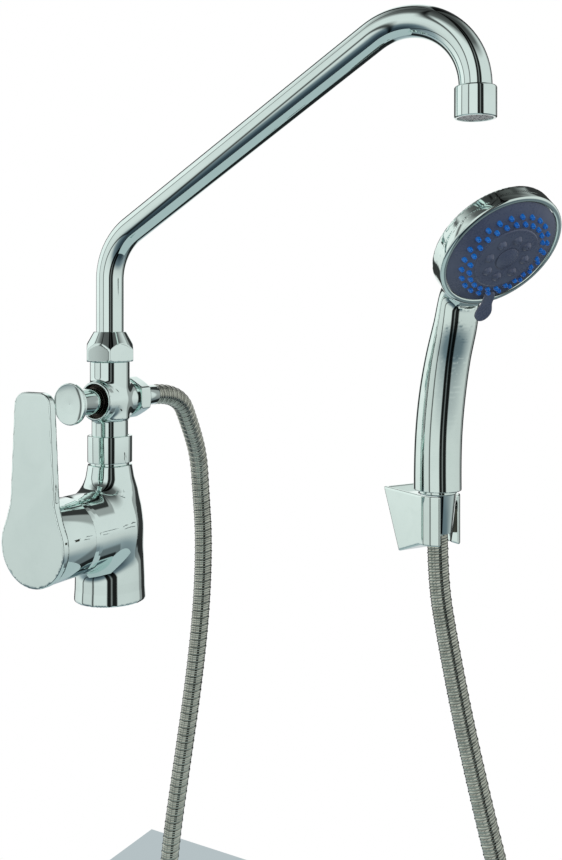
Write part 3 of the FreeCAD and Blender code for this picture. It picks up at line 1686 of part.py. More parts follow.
def jet_mat():
    """The soft mat behind the face: a disc whose tapered jets stand through the holes."""
    piece = Piece("jet_mat")
    piece.revolve("XZ_Plane", ring(S.screw_radius + S.running_fit, S.mat_radius, MAT_BOTTOM, S.mat_top))
    for radius, step in jet_rings():
        tip = face_height(radius) + S.jet_stand
        angle = 360 / S.jet_count * step
        sketch = piece.sketch(
            "XZ_Plane",
            [[(0, MAT_BOTTOM), (S.jet_root, MAT_BOTTOM), (S.jet_root, tip - S.jet_stand),
              (S.jet_tip, tip - 0.3), (S.jet_tip - 0.35, tip), (0, tip)]],
            shift=(radius * cosine(angle), 0, -radius * sine(angle)),
            turn=[("y", angle)],
        )
        jet = piece.feature("Revolution", sketch, Angle=360.0)
        jet.ReferenceAxis = (sketch, ["V_Axis"])
        DOC.recompute()
        pattern = piece.body.newObject("PartDesign::PolarPattern", piece.name("pattern"))
        pattern.Originals = [jet]
        pattern.Axis = (piece.plane("Z_Axis"), [""])
        pattern.Angle = 360.0
        pattern.setExpression("Occurrences", S.jet_count.words)
        piece.body.Tip = pattern
        DOC.recompute()
    return piece.place(*FACE_PLACE)


def centre_disc():
    piece = Piece("centre_disc")
    bottom = S.centre_top - S.centre_thickness
    piece.revolve("XZ_Plane", [
        (S.screw_head + 0.2, bottom),
        (S.centre_radius, bottom),
        (S.centre_radius, S.centre_top - 0.6),
        (S.centre_radius - 0.7, S.centre_top),
        (S.screw_head + 0.2, S.centre_top),
    ])
    return piece.place(*FACE_PLACE)


def small_jets():
    """A ring of low domes on the centre disc."""
    piece = Piece("centre_jets")
    sketch = piece.sketch("XZ_Plane", [[
        (0, S.centre_top),
        (S.small_jet_radius, S.centre_top, dome(S.small_jet_radius, S.small_jet_height)),
        (0, S.centre_top + S.small_jet_height),
    ]], shift=(S.small_jet_circle, 0, 0))
    jet = piece.feature("Revolution", sketch, Angle=360.0)
    jet.ReferenceAxis = (sketch, ["V_Axis"])
    DOC.recompute()
    pattern = piece.body.newObject("PartDesign::PolarPattern", piece.name("pattern"))
    pattern.Originals = [jet]
    pattern.Axis = (piece.plane("Z_Axis"), [""])
    pattern.Angle = 360.0
    pattern.setExpression("Occurrences", S.small_jets.words)
    piece.body.Tip = pattern
    DOC.recompute()
    return piece.place(*FACE_PLACE)


def centre_cap():
    """The domed cap over the face's screw."""
    piece = Piece("centre_cap")
    piece.revolve("XZ_Plane", [
        (0, S.centre_top),
        (S.cap_radius, S.centre_top),
        (S.cap_radius, S.centre_top + 0.6, dome(S.cap_radius, S.cap_height - 0.6)),
        (0, S.centre_top + S.cap_height),
    ])
    return piece.place(*FACE_PLACE)


def centre_screw():
    """The screw that the face turns on, driven into the port plate."""
    piece = Piece("centre_screw")
    seat = S.centre_top - S.centre_thickness
    piece.revolve("XZ_Plane", [
        (0, -S.head_cavity),
        (S.screw_radius, -S.head_cavity),
        (S.screw_radius, seat),
        (S.screw_head, seat),
        (S.screw_head, S.centre_top - 0.4),
        (0, S.centre_top - 0.4),
    ])
    return piece.place(*FACE_PLACE)


# ---------------------------------------------------------------- hose

# The hose's route, chosen by hand: out of the tee to the rear, down, round the hanging loop and up to the
# hand shower.
HOSE_ROUTE = [
    (0, 46, 130.6),
    (0, 76, 130.6),
    (-12, 109, 101),
    (-20, 131, 76),
    (-24, 140, 46),
    (-21, 140, 8),
    (-20, 135, -46),
    (-23, 128, -104),
    (-29, 121, -165),
    (-36, 115, -229),
    (-38, 111, -292),
    (-24, 108, -352),
    (17, 106, -400),
    (74, 105, -425),
    (135, 104, -423),
    (191, 104, -395),
    (231, 104, -348),
    (249, 104, -293),
    (246, 104, -236),
    (234, 103, -182),
    (220, 102, -129),
    (207.5, 101, -77),
    (197.5, 100, -28),
    (190.2, 99.4, 14),
    (190.2, 99.4, 45),
]


def hose_path(route):
    """Straight runs joined by arcs, each as large as its two runs allow, and the radii."""
    points = [Vector(*point) for point in route]
    edges, radii = [], []
    here = points[0]
    for before, corner, after in zip(points, points[1:], points[2:]):
        arriving, leaving = (corner - before), (after - corner)
        reach = 0.45 * min(arriving.Length, leaving.Length)
        half_turn = arriving.getAngle(leaving) / 2
        radius = reach / math.tan(half_turn)
        start = corner - arriving.normalize() * reach
        end = corner + leaving.normalize() * reach
        inward = (leaving - arriving).normalize()
        middle = corner + inward * (radius / math.cos(half_turn) - radius)
        edges.append(Part.LineSegment(here, start).toShape())
        edges.append(Part.Arc(start, middle, end).toShape())
        radii.append(radius)
        here = end
    edges.append(Part.LineSegment(here, points[-1]).toShape())
    return Part.Wire(edges), radii


def hose_tube():
    """The hose as a plain round bar along its route."""
    path, radii = hose_path(HOSE_ROUTE)
    radius = number_of(S.hose_radius)
    heading = Vector(*HOSE_ROUTE[1]) - Vector(*HOSE_ROUTE[0])
    section = Part.Wire(Part.makeCircle(radius, Vector(*HOSE_ROUTE[0]), heading))
    hose = DOC.addObject("Part::Feature", "shower_hose")
    hose.Label = "shower_hose"
    hose.Shape = path.makePipeShell([section], True, False)
    expected = math.pi * radius * radius * path.Length
    print(f"hose length {path.Length:.1f}, bend radii {[round(r) for r in radii]}")
    print(f"hose volume {hose.Shape.Volume:.0f}, section times length {expected:.0f}")
    return hose


PIECES = [
    mixer_body,
    base_seal,
    cartridge_seals,
    cartridge_base,
    fixed_disc,
    sliding_disc,
    cartridge_rotor,
    pivot_pin,
    cartridge_housing,
    retaining_nut,
    dome_shroud,
    lever_stem,
    lever_handle,
    lever_grub_screw,
    lever_plug,
    union_collar,
    union_washer,
    diverter_tee,
    diverter_bonnet,
    diverter_stem,
    valve_seals,
    diverter_knob,
    diverter_spring,
    cone_nut,
    spout_tube,
    spout_bush,
    spout_o_rings,
    aerator_housing,
    aerator_insert,
    aerator_washer,
    hose_nut,
    hose_tail,
    hose_tail_washer,
    hose_tube,
    holder_shell,
    holder_screws,
    hose_cone_nut,
    hose_swivel,
    swivel_washer,
    handset_shell,
    head_trim_ring,
    port_plate,
    plate_seal,
    spray_face,
    jet_mat,
    centre_disc,
    small_jets,
    centre_cap,
    centre_screw,
]


def main():
    made = [make() for make in PIECES]
    made = [item.body if isinstance(item, Piece) else item for item in made]
    DOC.recompute()
    for item in DOC.Objects:
        if "Invalid" in item.State or "Error" in item.State:
            raise RuntimeError(f"{item.Name} failed: {item.State}")
    os.makedirs("parts", exist_ok=True)
    for item in made:
        shape = item.Shape
        if shape.isNull() or not shape.isValid() or not shape.Solids:
            raise RuntimeError(f"{item.Label} has no valid shape")
        shape.exportStep(f"parts/{item.Label}.step")
        print(f"{item.Label}: {len(shape.Solids)} solid(s), {shape.Volume:.1f} mm3")


main()
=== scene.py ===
# %% [markdown]
# # A mixer tap with a pull diverter and a hand shower
#
# This lesson dresses a imported CAD model for rendering. The CAD holds every real size and every joint; here
# the visible castings, tubes and mouldings are rebuilt as dense smooth meshes, because a mirror finish shows
# each flat facet of a coarse one. Nothing of the CAD is moved: each new piece is made in the same frame, and
# each but the hose rides on the same body.

# %% Load the frame
import json
import math

import bpy
import numpy as np
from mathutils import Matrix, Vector


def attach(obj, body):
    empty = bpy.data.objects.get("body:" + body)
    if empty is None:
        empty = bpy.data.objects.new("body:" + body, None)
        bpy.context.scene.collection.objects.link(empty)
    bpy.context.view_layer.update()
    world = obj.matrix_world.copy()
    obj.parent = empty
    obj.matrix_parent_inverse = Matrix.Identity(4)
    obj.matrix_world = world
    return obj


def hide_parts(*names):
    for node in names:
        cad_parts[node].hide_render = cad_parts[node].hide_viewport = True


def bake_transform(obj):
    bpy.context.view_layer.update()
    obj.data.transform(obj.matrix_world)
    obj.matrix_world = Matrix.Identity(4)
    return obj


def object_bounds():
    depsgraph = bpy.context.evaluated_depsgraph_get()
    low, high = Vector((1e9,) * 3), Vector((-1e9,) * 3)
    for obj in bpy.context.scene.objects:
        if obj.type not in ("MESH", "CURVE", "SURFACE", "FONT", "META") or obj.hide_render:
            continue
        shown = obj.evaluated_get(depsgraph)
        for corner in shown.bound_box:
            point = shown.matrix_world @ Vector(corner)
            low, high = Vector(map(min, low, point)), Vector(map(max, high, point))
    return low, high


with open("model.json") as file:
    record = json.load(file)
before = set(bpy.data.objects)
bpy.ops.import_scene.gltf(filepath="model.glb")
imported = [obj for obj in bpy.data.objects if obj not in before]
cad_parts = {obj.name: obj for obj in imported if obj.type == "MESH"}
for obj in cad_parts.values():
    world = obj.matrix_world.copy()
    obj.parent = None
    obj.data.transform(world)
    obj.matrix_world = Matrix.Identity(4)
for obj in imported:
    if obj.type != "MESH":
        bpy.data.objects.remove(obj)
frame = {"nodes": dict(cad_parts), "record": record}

MILLIMETRE = 0.001
cad_low, cad_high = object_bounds()
nodes = frame["nodes"]
print("CAD box:", [round(v, 4) for v in (*cad_low, *cad_high)])

# %% [markdown]
# ## Camera
#
# The product is seen a little from its right and at the height of the spout's foot, with upright lines kept
# upright. A level camera does that: instead of tilting it down, which would make the column converge, the
# lens is shifted, as on a view camera.

# %% Camera
VIEW_AZIMUTH = 30.0
CAMERA_PLACE = (0.4271, -0.5144, 0.1896)
camera_data = bpy.data.cameras.new("camera")
camera_data.sensor_width = 36.0
camera_data.lens = 41.86
camera_data.shift_y = -0.1395
camera_data.clip_start = 0.01
camera = bpy.data.objects.new("camera", camera_data)
camera.location = CAMERA_PLACE
camera.rotation_euler = (math.radians(90), 0, math.radians(VIEW_AZIMUTH))
bpy.context.scene.collection.objects.link(camera)
bpy.context.scene.camera = camera
print("camera at", CAMERA_PLACE, "lens", camera_data.lens)

# %% [markdown]
# ## The hose's line
#
# A shower hose has a fixed length and hangs in a loop between the tap and the hand shower. Its line is one
# smooth NURBS spline through a few given control points. Order 3 and use_endpoint_u are set after the
# points are added, or Blender keeps straight runs. The mesh later follows points read from this spline.

# %% The hose's line
HOSE_ROUTE = [
    (0.0, 0.046, 0.1306),
    (0.0, 0.076, 0.1306),
    (-0.012, 0.109, 0.101),
    (-0.020, 0.131, 0.076),
    (-0.024, 0.140, 0.046),
    (-0.021, 0.140, 0.008),
    (-0.020, 0.135, -0.046),
    (-0.023, 0.128, -0.104),
    (-0.029, 0.121, -0.165),
    (-0.036, 0.115, -0.229),
    (-0.038, 0.111, -0.292),
    (-0.024, 0.108, -0.352),
    (0.017, 0.106, -0.400),
    (0.074, 0.105, -0.425),
    (0.135, 0.104, -0.423),
    (0.191, 0.104, -0.395),
    (0.231, 0.104, -0.348),
    (0.249, 0.104, -0.293),
    (0.246, 0.104, -0.236),
    (0.234, 0.103, -0.182),
    (0.220, 0.102, -0.129),
    (0.2075, 0.101, -0.077),
    (0.1975, 0.100, -0.028),
    (0.1902, 0.0994, 0.014),
    (0.1902, 0.0994, 0.045),
]


def smooth_line(route):
    """Points along the NURBS spline that has the route as its control points."""
    data = bpy.data.curves.new("hose_line", "CURVE")
    data.dimensions = "3D"
    data.resolution_u = 24
    spline = data.splines.new("NURBS")
    spline.points.add(len(route) - 1)
    for point, place in zip(spline.points, route):
        point.co = (*place, 1.0)
    spline.order_u = 3
    spline.use_endpoint_u = True
    holder = bpy.data.objects.new("hose_line", data)
    mesh = bpy.data.meshes.new_from_object(holder)
    line = np.array([vertex.co[:] for vertex in mesh.vertices])
    bpy.data.objects.remove(holder)
    bpy.data.meshes.remove(mesh)
    return line


hose_line = smooth_line(HOSE_ROUTE)
steps = np.linalg.norm(np.diff(hose_line, axis=0), axis=1)
print("hose line:", len(hose_line), "points,", round(float(steps.sum()), 4), "m")

# %% [markdown]
# ## Outlines
#
# Turned and moulded parts are drawn as half sections: closed outlines of lines and arcs in millimetres. A
# point may carry a third number, the radius of the arc to the next point, positive where it turns left. Sharp
# corners are then softened, because no real plated edge is razor sharp and the small round catches the light.

# %% Outlines


def outline(points, step=6.0):
    """A closed outline of lines and arcs as plain points; a third number is the arc's signed radius."""
    done = []
    for here, after in zip(points, points[1:] + points[:1]):
        start, end = np.array(here[:2], float), np.array(after[:2], float)
        done.append(start)
        if len(here) < 3:
            continue
        radius = abs(here[2])
        chord = end - start
        across = np.array((-chord[1], chord[0])) / np.linalg.norm(chord)
        side = 1 if here[2] > 0 else -1
        rise = math.sqrt(max(radius**2 - float(chord @ chord) / 4, 0.0))
        centre = (start + end) / 2 + across * side * rise
        first = math.atan2(*(start - centre)[::-1])
        turn = math.atan2(*(end - centre)[::-1]) - first
        turn = turn % math.tau if side > 0 else -(-turn % math.tau)
        count = max(2, int(abs(math.degrees(turn)) / step))
        for part in range(1, count):
            angle = first + turn * part / count
            done.append(centre + radius * np.array((math.cos(angle), math.sin(angle))))
    return [tuple(point) for point in done]


def soften(points, radius, steps=4):
    """The outline with each real corner rounded, as far as its two sides allow."""
    done = []
    for before, here, after in zip(points[-1:] + points[:-1], points, points[1:] + points[:1]):
        corner = np.array(here)
        back, on = np.array(before) - corner, np.array(after) - corner
        lengths = np.linalg.norm(back), np.linalg.norm(on)
        cosine = float(back @ on) / (lengths[0] * lengths[1])
        turn = math.pi - math.acos(max(-1.0, min(1.0, cosine)))
        if turn < math.radians(25) or radius == 0:
            done.append(here)
            continue
        reach = min(radius * math.tan(turn / 2), 0.45 * lengths[0], 0.45 * lengths[1])
        first = corner + back / lengths[0] * reach
        last = corner + on / lengths[1] * reach
        for t in np.linspace(0, 1, steps + 1):
            done.append(tuple((1 - t) ** 2 * first + 2 * t * (1 - t) * corner + t**2 * last))
    return done


print("a softened square has", len(soften([(0, 0), (1, 0), (1, 1), (0, 1)], 0.1)), "points")

# %% [markdown]
# ## Places
#
# Each group of parts is drawn in the frame it is made in: the hub's parts along the lever's axis, the hand
# shower's along its handle, the spray face's square to the water. A place is a 4 by 4 matrix from that frame
# to the object's own, in millimetres.

# %% Places
HUB_HEIGHT = 48.2
TEE_HEIGHT = 130.6
HOLDER = np.array((190.2, 99.4, 0.0))
HOLDER_TURN = math.radians(-30.0)
FACE_FORWARD = 61.0
FACE_RISE = 223.5
FACE_TILT = math.radians(41.5)


def place(origin, x_axis, z_axis):
    """The matrix of a frame with its origin, X axis and Z axis there."""
    x_axis, z_axis = np.array(x_axis, float), np.array(z_axis, float)
    matrix = np.eye(4)
    matrix[:3, 0] = x_axis
    matrix[:3, 1] = np.cross(z_axis, x_axis)
    matrix[:3, 2] = z_axis
    matrix[:3, 3] = origin
    return matrix


FORWARD = np.array((math.cos(HOLDER_TURN), math.sin(HOLDER_TURN), 0.0))
ASIDE = np.array((-math.sin(HOLDER_TURN), math.cos(HOLDER_TURN), 0.0))
UP = np.array((0.0, 0.0, 1.0))
SPRAY_WAY = FORWARD * math.cos(FACE_TILT) - UP * math.sin(FACE_TILT)
FACE_CENTRE = HOLDER + FORWARD * FACE_FORWARD + UP * FACE_RISE

UPRIGHT = place((0, 0, 0), (1, 0, 0), (0, 0, 1))
AT_HUB = place((0, 0, HUB_HEIGHT), (1, 0, 0), (0, -1, 0))
AT_KNOB = place((0, 0, TEE_HEIGHT), (1, 0, 0), (0, -1, 0))
AT_BRANCH = place((0, 0, TEE_HEIGHT), (1, 0, 0), (0, 1, 0))
AT_HOLDER = place(HOLDER, FORWARD, UP)
AT_FACE = place(FACE_CENTRE, ASIDE, SPRAY_WAY)
print("spray face at", FACE_CENTRE.round(2), "facing", SPRAY_WAY.round(3))

# %% [markdown]
# ## Making meshes
#
# Three ways cover the whole object. A lathe turns a half section, as the real parts are turned. A skin wraps
# a form that is only known as a distance, for castings that grow into each other. A sweep carries a section
# along a line. The lathe comes first: it is the cleanest way wherever a part is round, because its rings
# follow the form and its shading has no seams.

# %% Making meshes


def make_object(name, points, faces, matrix=UPRIGHT, normals=None):
    """A smooth-shaded object from points in millimetres of the frame that matrix places."""
    points = np.asarray(points, float) @ matrix[:3, :3].T + matrix[:3, 3]
    mesh = bpy.data.meshes.new(name)
    mesh.from_pydata((points * MILLIMETRE).tolist(), [], [tuple(face) for face in faces])
    mesh.polygons.foreach_set("use_smooth", [True] * len(mesh.polygons))
    if normals is not None:
        turned = np.asarray(normals) @ matrix[:3, :3].T
        mesh.normals_split_custom_set_from_vertices(turned.tolist())
    mesh.update()
    made = bpy.data.objects.new(name, mesh)
    bpy.context.scene.collection.objects.link(made)
    print(name, "with", len(mesh.polygons), "faces")
    return made


AXIS_HOLE = 0.004
ON_AXIS = 0.01


def lathe(name, section, matrix=UPRIGHT, soft=0.3, around=144):
    """A closed half section of (radius, height) points, turned about the frame's Z axis."""
    section = soften(outline(section), soft)
    section = np.array([(max(r, AXIS_HOLE), z) for r, z in section])
    shifted = np.roll(section, -1, axis=0)
    area = float((section[:, 0] * shifted[:, 1] - shifted[:, 0] * section[:, 1]).sum())
    if area < 0:
        section = section[::-1]
    around = around
    angles = np.arange(around) * math.tau / around
    rows = [(r * np.cos(angles), r * np.sin(angles), np.full(around, z)) for r, z in section]
    points = np.stack([np.stack(row, axis=1) for row in rows]).reshape(-1, 3)
    count = len(section)
    faces = []
    for row in range(count):
        up = (row + 1) % count
        if max(section[row, 0], section[up, 0]) < ON_AXIS:
            continue
        for step in range(around):
            on = (step + 1) % around
            faces.append((row * around + step, row * around + on, up * around + on, up * around + step))
    return make_object(name, points, faces, matrix)


print("lathe ready")

# %% [markdown]
# ## Distance fields
#
# A signed distance field says how far each point is from a form, and is negative inside it. Forms combine by
# plain arithmetic there: the smaller of two distances joins them, and a smooth minimum leaves the fillet that
# a casting has where two of its forms meet. A boolean of meshes leaves a sharp, ragged line instead.

# %% Distance fields


def flat_distance(across, up, points):
    """Signed distance to a closed outline in its plane, negative inside."""
    nearest = np.full(across.shape, 1e12)
    sign = np.ones(across.shape)
    for (ax, ay), (bx, by) in zip(points, points[-1:] + points[:-1]):
        ex, ey = bx - ax, by - ay
        wx, wy = across - ax, up - ay
        t = np.clip((wx * ex + wy * ey) / (ex * ex + ey * ey + 1e-12), 0, 1)
        nearest = np.minimum(nearest, (wx - ex * t) ** 2 + (wy - ey * t) ** 2)
        above, below, left = up >= ay, up < by, ex * wy > ey * wx
        crossed = (above & below & left) | (~above & ~below & ~left)
        sign = np.where(crossed, -sign, sign)
    return sign * np.sqrt(nearest)


def joined(first, second, blend):
    """Smooth minimum: two fields grown together with a fillet of about that size."""
    meet = np.maximum(blend - np.abs(first - second), 0.0) / blend
    return np.minimum(first, second) - meet * meet * blend / 4


def cut(first, second, blend=0.5):
    """The first field without the second, with a softened edge."""
    return -joined(-first, second, blend)


def slab(flat, along, half, edge):
    """A flat outline's distance given a thickness, its edges rounded."""
    a, b = flat + edge, np.abs(along) - half + edge
    outside = np.hypot(np.maximum(a, 0), np.maximum(b, 0))
    return outside + np.minimum(np.maximum(a, b), 0) - edge


middle = flat_distance(np.array([0.5]), np.array([0.5]), [(0, 0), (1, 0), (1, 1), (0, 1)])
print("the middle of a unit square lies", float(middle[0]), "from its outline")

# %% [markdown]
# ## From a field to a skin
#
# The field is sampled on a grid, coarsely first, so that only cells near the surface cost time. Surface nets
# put one point in each cell that the surface crosses and join neighbours with quads. They give even quads,
# which shade more calmly than the thin triangles of marching cubes.

# %% From a field to a skin
COARSE_STEP = 4
NEAR_CELLS = 1.9


def sample(field, low, high, cell):
    """The field on a grid; far from the surface only its sign is kept."""
    axes = [np.arange(a, b + cell, cell) for a, b in zip(low, high)]
    rough = [axis[::COARSE_STEP] for axis in axes]
    mesh = np.meshgrid(*rough, indexing="ij")
    far = field(np.stack([m.ravel() for m in mesh], axis=1)).reshape(mesh[0].shape)
    for direction in range(3):
        far = np.repeat(far, COARSE_STEP, axis=direction)
    far = far[: len(axes[0]), : len(axes[1]), : len(axes[2])]
    near = np.abs(far) < COARSE_STEP * cell * NEAR_CELLS
    index = np.argwhere(near)
    places = np.stack([axes[d][index[:, d]] for d in range(3)], axis=1)
    grid = far.copy()
    grid[near] = field(places)
    return grid, axes


def surface_net(grid, axes):
    """The quads and rough points of a grid's zero surface."""
    inside = grid < 0
    shape = np.array(grid.shape) - 1
    total = np.zeros((*shape, 3))
    hits = np.zeros(shape)
    quads = []
    for direction in range(3):
        others = [d for d in range(3) if d != direction]
        head = [slice(None)] * 3
        tail = [slice(None)] * 3
        head[direction], tail[direction] = slice(0, -1), slice(1, None)
        first, second = grid[tuple(head)], grid[tuple(tail)]
        crossing = np.argwhere(inside[tuple(head)] != inside[tuple(tail)])
        values = first[tuple(crossing.T)], second[tuple(crossing.T)]
        spot = crossing.astype(float)
        spot[:, direction] += values[0] / (values[0] - values[1])
        ring = []
        for shift in ((-1, -1), (0, -1), (0, 0), (-1, 0)):
            cells = crossing.copy()
            cells[:, others[0]] += shift[0]
            cells[:, others[1]] += shift[1]
            ring.append(cells)
            fits = ((cells >= 0) & (cells < shape)).all(axis=1)
            np.add.at(total, tuple(cells[fits].T), spot[fits])
            np.add.at(hits, tuple(cells[fits].T), 1)
        fits = np.all([((c >= 0) & (c < shape)).all(axis=1) for c in ring], axis=0)
        flip = (values[0] < 0) != (direction == 1)
        names = [np.ravel_multi_index(tuple(c[fits].T), shape) for c in ring]
        quad = np.stack(names, axis=1)
        quad[~flip[fits]] = quad[~flip[fits]][:, ::-1]
        quads.append(quad)
    quads = np.concatenate(quads)
    used, quads = np.unique(quads, return_inverse=True)
    cells = np.stack(np.unravel_index(used, shape), axis=1)
    spots = total[tuple(cells.T)] / hits[tuple(cells.T)][:, None]
    cell = np.array([axis[1] - axis[0] for axis in axes])
    start = np.array([axis[0] for axis in axes])
    return start + spots * cell, quads.reshape(-1, 4)


def ball_field(points):
    """A ball of 3 mm, to try the tools on."""
    return np.linalg.norm(points, axis=1) - 3.0


ball_points, ball_quads = surface_net(*sample(ball_field, (-5, -5, -5), (5, 5, 5), 0.5))
print("a ball becomes", len(ball_quads), "quads on", len(ball_points), "points")

# %% [markdown]
# ## Exact points and calm normals
#
# The rough points lie a little off the surface. Each moves onto it along the field's slope, and the slope
# also gives the normals, so a mirror finish stays calm. Where a field has a kink, a stray normal would
# sparkle, so it takes the mean of neighbours that agree.

# %% Exact points and calm normals
NORMAL_REACH = 0.12
NEIGHBOURS_AGREE = 0.96
STANDS_APART = 0.998


def slope(field, points, reach=0.02):
    """The field's gradient by central differences."""
    sides = []
    for direction in range(3):
        shift = np.zeros(3)
        shift[direction] = reach
        sides.append((field(points + shift) - field(points - shift)) / (2 * reach))
    return np.stack(sides, axis=1)


def calm_normals(normals, quads):
    """A normal that stands apart from neighbours which agree takes their mean."""
    for _ in range(3):
        total = np.zeros_like(normals)
        count = np.zeros(len(normals))
        for corner in range(4):
            for other in (corner - 1, (corner + 1) % 4):
                np.add.at(total, quads[:, corner], normals[quads[:, other]])
                np.add.at(count, quads[:, corner], 1)
        mean = total / np.maximum(count, 1)[:, None]
        length = np.linalg.norm(mean, axis=1)
        stray = (normals * mean).sum(axis=1) < STANDS_APART * length
        apart = (length > NEIGHBOURS_AGREE) & stray
        normals[apart] = mean[apart] / length[apart][:, None]
    return normals


def skin(name, field, low, high, cell, matrix=UPRIGHT):
    """The zero surface of a signed distance field, with exact points and normals."""
    cell = cell
    points, quads = surface_net(*sample(field, low, high, cell))
    for _ in range(3):
        gradient = slope(field, points)
        size = np.maximum((gradient**2).sum(axis=1), 0.05)
        move = gradient * (field(points) / size)[:, None]
        length = np.maximum(np.linalg.norm(move, axis=1), 1e-9)
        points -= move * np.minimum(1, 0.6 * cell / length)[:, None]
    normals = slope(field, points, NORMAL_REACH)
    normals /= np.maximum(np.linalg.norm(normals, axis=1), 1e-9)[:, None]
    return make_object(name, points, quads, matrix, calm_normals(normals, quads))


print("skins ready")

# %% [markdown]
# ## Frames along a line
#
# A sweep needs two cross directions at each point of its line. They are carried from point to point with as
# little turning as possible, so that a wound strip doesn't gain or lose turns in the bends.

# %% Frames along a line


def frames_along(line):
    """Tangent and two steady cross directions at each point of a line."""
    tangents = np.gradient(line, axis=0)
    tangents /= np.linalg.norm(tangents, axis=1)[:, None]
    side = np.cross(tangents[0], (0.3, 0.5, 0.81))
    sides = []
    for tangent in tangents:
        side = side - tangent * (side @ tangent)
        side = side / np.linalg.norm(side)
        sides.append(side)
    sides = np.array(sides)
    return tangents, sides, np.cross(tangents, sides)


print("frames along the hose:", len(frames_along(hose_line)[0]))

# %% [markdown]
# ## Node helpers
#
# A node tree is easier to read when each kind of node has one short function. Each takes numbers or other
# nodes' outputs and returns its own output, so a tree reads like plain arithmetic.

# %% Node helpers


def new_group(name, inputs, outputs):
    """An empty node group with its float sockets; the inputs carry their starting values."""
    group = bpy.data.node_groups.new(name, "ShaderNodeTree")
    for label, value in inputs:
        socket = group.interface.new_socket(label, in_out="INPUT", socket_type="NodeSocketFloat")
        socket.default_value = value
    for label in outputs:
        group.interface.new_socket(label, in_out="OUTPUT", socket_type="NodeSocketFloat")
    enter = group.nodes.new("NodeGroupInput")
    leave = group.nodes.new("NodeGroupOutput")
    return group, enter, leave


def add_noise(tree, coordinate, scale, detail, distortion=0.0):
    noise = tree.nodes.new("ShaderNodeTexNoise")
    noise.inputs["Detail"].default_value = detail
    noise.inputs["Distortion"].default_value = distortion
    tree.links.new(coordinate, noise.inputs["Vector"])
    if isinstance(scale, (int, float)):
        noise.inputs["Scale"].default_value = scale
    else:
        tree.links.new(scale, noise.inputs["Scale"])
    return noise.outputs["Fac"]


def add_range(tree, value, low, high, to_low, to_high):
    remap = tree.nodes.new("ShaderNodeMapRange")
    tree.links.new(value, remap.inputs["Value"])
    for key, term in (("From Min", low), ("From Max", high), ("To Min", to_low), ("To Max", to_high)):
        if isinstance(term, (int, float)):
            remap.inputs[key].default_value = term
        else:
            tree.links.new(term, remap.inputs[key])
    return remap.outputs["Result"]


def add_math(tree, first, second, operation="ADD"):
    node = tree.nodes.new("ShaderNodeMath")
    node.operation = operation
    for socket, term in zip(node.inputs, (first, second)):
        if isinstance(term, (int, float)):
            socket.default_value = term
        else:
            tree.links.new(term, socket)
    return node.outputs["Value"]


print("node helpers ready")

# %% [markdown]
# ## Shared surface effects
#
# Two node groups hold what several finishes share. `polish_marks` is what polishing and handling leave on
# plating: soft patches where the mirror is a little duller, and a very faint waviness. `moulded_grain` is the
# skin of moulded plastic and rubber. Both give only masks, values and heights that change over the surface;
# the shaders stay in the materials.

# %% Shared surface effects


def polish_marks_group():
    """Roughness in soft patches, the patches themselves, and a faint waviness."""
    inputs = (("Patch Size", 40.0), ("Bright Roughness", 0.03), ("Dull Roughness", 0.1))
    group, enter, leave = new_group("polish_marks", inputs, ("Roughness", "Dullness", "Waviness"))
    spot = group.nodes.new("ShaderNodeTexCoord").outputs["Object"]
    patch = add_noise(group, spot, enter.outputs["Patch Size"], 4.0, 0.6)
    dull = add_range(group, patch, 0.42, 0.72, 0.0, 1.0)
    rough = add_range(
        group, dull, 0.0, 1.0, enter.outputs["Bright Roughness"], enter.outputs["Dull Roughness"]
    )
    wave = add_noise(group, spot, 55.0, 1.0)
    group.links.new(rough, leave.inputs["Roughness"])
    group.links.new(dull, leave.inputs["Dullness"])
    group.links.new(wave, leave.inputs["Waviness"])
    return group


def moulded_grain_group():
    """Uneven roughness, a broad change of shade, and the height of a fine grain."""
    inputs = (("Grain", 900.0), ("Low Roughness", 0.3), ("High Roughness", 0.5))
    group, enter, leave = new_group("moulded_grain", inputs, ("Roughness", "Shade", "Height"))
    spot = group.nodes.new("ShaderNodeTexCoord").outputs["Object"]
    fine = add_noise(group, spot, enter.outputs["Grain"], 2.0)
    broad = add_noise(group, spot, 60.0, 3.0)
    fine_part = add_math(group, fine, 0.4, "MULTIPLY")
    mixed = add_math(group, fine_part, add_math(group, broad, 0.6, "MULTIPLY"))
    rough = add_range(
        group, mixed, 0.3, 0.7, enter.outputs["Low Roughness"], enter.outputs["High Roughness"]
    )
    group.links.new(rough, leave.inputs["Roughness"])
    group.links.new(broad, leave.inputs["Shade"])
    group.links.new(fine, leave.inputs["Height"])
    return group


polish_marks = polish_marks_group()
moulded_grain = moulded_grain_group()
print("groups:", polish_marks.name, moulded_grain.name)

# %% [markdown]
# ## Finishes
#
# Bright chrome is a metal shader with a cool, slightly green tint. Its look is mostly what it
# mirrors, so its own detail stays faint: duller patches and a waviness of hundredths of a millimetre. The
# plastics and rubbers use the moulded grain. Each record slot has one finish.

# %% Finishes


def start_material(name, group, settings):
    """A material whose roughness comes from one of the shared groups."""
    material = bpy.data.materials.new(name)
    material.use_nodes = True
    tree = material.node_tree
    shader = tree.nodes["Principled BSDF"]
    effect = tree.nodes.new("ShaderNodeGroup")
    effect.node_tree = group
    for label, value in settings.items():
        effect.inputs[label].default_value = value
    tree.links.new(effect.outputs["Roughness"], shader.inputs["Roughness"])
    return material, tree, shader, effect


